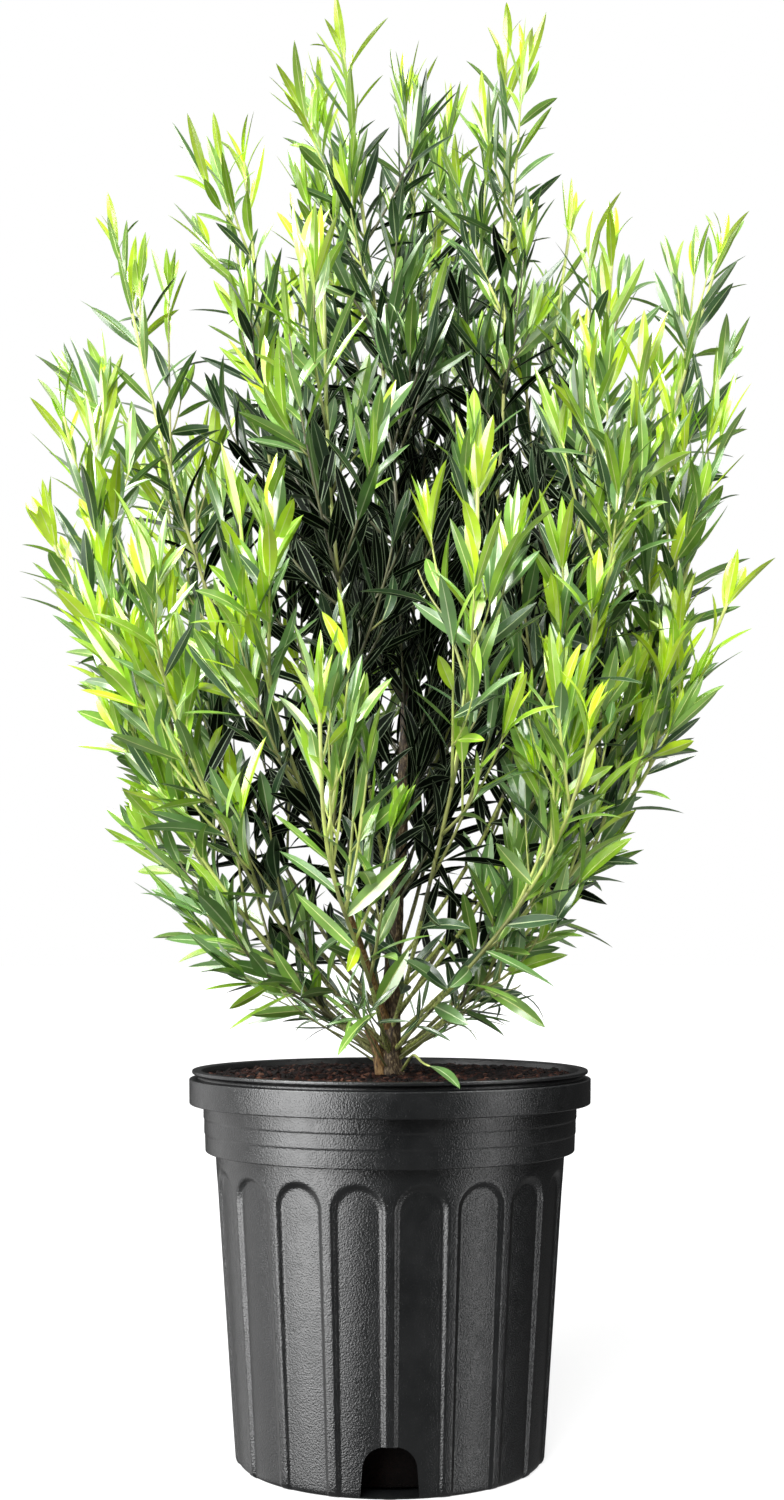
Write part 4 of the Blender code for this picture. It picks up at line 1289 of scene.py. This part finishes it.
def build_leaves(leaves, masses):
    """The blades of each green as one piece, and the midribs and margins of several greens as others."""
    along, across, blade, ribs, margins = leaf_template()
    trims = {name: Mesh() for name in TRIM_TINTS}
    for name, green in GREENS.items():
        mesh = Mesh()
        for points in leaf_points(leaves[name], along, across):
            mesh.add(points, blade)
            trims[green.ribs].add(points, ribs)
            # Pale margins on the darker greens are painted glints
            if green.glint_margins:
                trims["margins_painted_glint"].add(points, margins)
            else:
                mesh.faces.append(margins + mesh.count - len(points))
        tint = leaf_tint(name, green.colour, green.roughness, green.gloss)
        mesh.piece(name, tint, "foliage", masses)
    for name, mesh in trims.items():
        mesh.piece(name, leaf_tint(name, *TRIM_TINTS[name]), "foliage", masses)


# Stage


BOXES = (
    # name, size, watts, place, height that it is aimed at on the plant's axis
    ("left_box", (1.3, 1.8), 96, (-1.24, -0.95, 0.36), 0.36),
    ("far_left_box", (1.6, 2.2), 17, (-1.46, 0.59, 0.15), 0.15),
    ("right_box", (0.35, 2.2), 15, (1.35, -0.75, 0.15), 0.15),
    ("top_left_box", (1.2, 0.9), 95, (-1.25, -0.60, 1.60), 0.5),
    ("top_right_box", (1.0, 0.9), 50, (1.30, -0.60, 1.65), 0.5),
)


SUN_PLACE = (-0.60, -1.40, 1.85)
SUN_AIM = 0.5
SUN_STRENGTH = 5.4
SUN_WIDTH = math.radians(40)
FLOOR_SIZE = 30
FLOOR_GREY = 0.34
FLOOR_GLOW = 0.78


def build_stage():
    """The camera, a floor, white all round, a wide sun that doesn't show as gloss, and the soft boxes."""
    scene = bpy.context.scene
    build_camera(scene)
    build_floor()
    light_world(scene)
    sun = bpy.data.lights.new("sun", "SUN")
    sun.energy = SUN_STRENGTH
    sun.angle = SUN_WIDTH
    lamp = aimed("sun", sun, SUN_PLACE, SUN_AIM)
    lamp.visible_glossy = False
    for name, size, watts, place, height in BOXES:
        soft_box(name, size, watts, place, height)


def build_camera(scene):
    """The camera, at the photograph's angle."""
    camera = linked("camera", bpy.data.cameras.new("camera"))
    camera.location = CAMERA_PLACE
    camera.rotation_euler = (math.radians(90 + CAMERA_PITCH), 0, 0)
    camera.data.lens = CAMERA_LENS
    camera.data.sensor_width = 36
    camera.data.clip_start = 0.05
    scene.camera = camera


def build_floor():
    """A pale floor for the camera alone, which adds no light or gloss to the plant."""
    shape = bmesh.new()
    bmesh.ops.create_grid(shape, x_segments=2, y_segments=2, size=FLOOR_SIZE)
    mesh = bpy.data.meshes.new("floor")
    shape.to_mesh(mesh)
    shape.free()
    floor = linked("floor", mesh)
    pale, _, shader = principled("floor_pale", (FLOOR_GREY, FLOOR_GREY, FLOOR_GREY), 0.8)
    shader.inputs["Specular IOR Level"].default_value = 0.0
    shader.inputs["Emission Color"].default_value = (1, 1, 1, 1)
    shader.inputs["Emission Strength"].default_value = FLOOR_GLOW
    mesh.materials.append(pale)
    floor.visible_diffuse = False
    floor.visible_glossy = False


def light_world(scene):
    """White all round for the camera, a softer white for the light, and darker still in gloss."""
    world = bpy.data.worlds.new("studio")
    scene.world = world
    world.use_nodes = True
    tree = world.node_tree
    background = tree.nodes["Background"]
    background.inputs["Color"].default_value = (1, 1, 1, 1)
    place = tree.nodes.new("ShaderNodeTexCoord")
    split = tree.nodes.new("ShaderNodeSeparateXYZ")
    tree.links.new(place.outputs["Generated"], split.inputs["Vector"])
    away = tree.nodes.new("ShaderNodeMath")
    away.operation = "ABSOLUTE"
    tree.links.new(split.outputs["Z"], away.inputs[0])
    path = tree.nodes.new("ShaderNodeLightPath")
    gloss = map_range(tree, away.outputs["Value"], 0.18, 0.60, 0.05, 0.36)
    soft = map_range(tree, path.outputs["Is Glossy Ray"], low=0.50)
    tree.links.new(gloss.outputs["Result"], soft.inputs["To Max"])
    whole = map_range(tree, path.outputs["Is Camera Ray"])
    tree.links.new(soft.outputs["Result"], whole.inputs["To Min"])
    tree.links.new(whole.outputs["Result"], background.inputs["Strength"])
    scene.view_settings.view_transform = "Standard"


def aimed(name, light, place, height):
    """A lamp at a place, aimed at a height on the plant's axis."""
    lamp = linked(name, light)
    lamp.location = place
    lamp.rotation_euler = (Vector((0, 0, height)) - Vector(place)).to_track_quat("-Z", "Y").to_euler()
    return lamp


def soft_box(name, size, watts, place, height):
    """A soft box that only shows as gloss, on the pot and the leaves."""
    light = bpy.data.lights.new(name, "AREA")
    light.shape = "RECTANGLE"
    light.size, light.size_y = size
    light.energy = watts
    lamp = aimed(name, light, place, height)
    lamp.visible_diffuse = False
    lamp.visible_camera = False


build_stage()
build_pot(pot_plastic())
build_soil()
build_chips()
axis = trunk_axis()
paths = [leader_path(n, leader, axis) for n, leader in enumerate(LEADERS.values())]
build_limbs(axis, paths)
build_foliage(Crown(axis, paths), axis, paths)
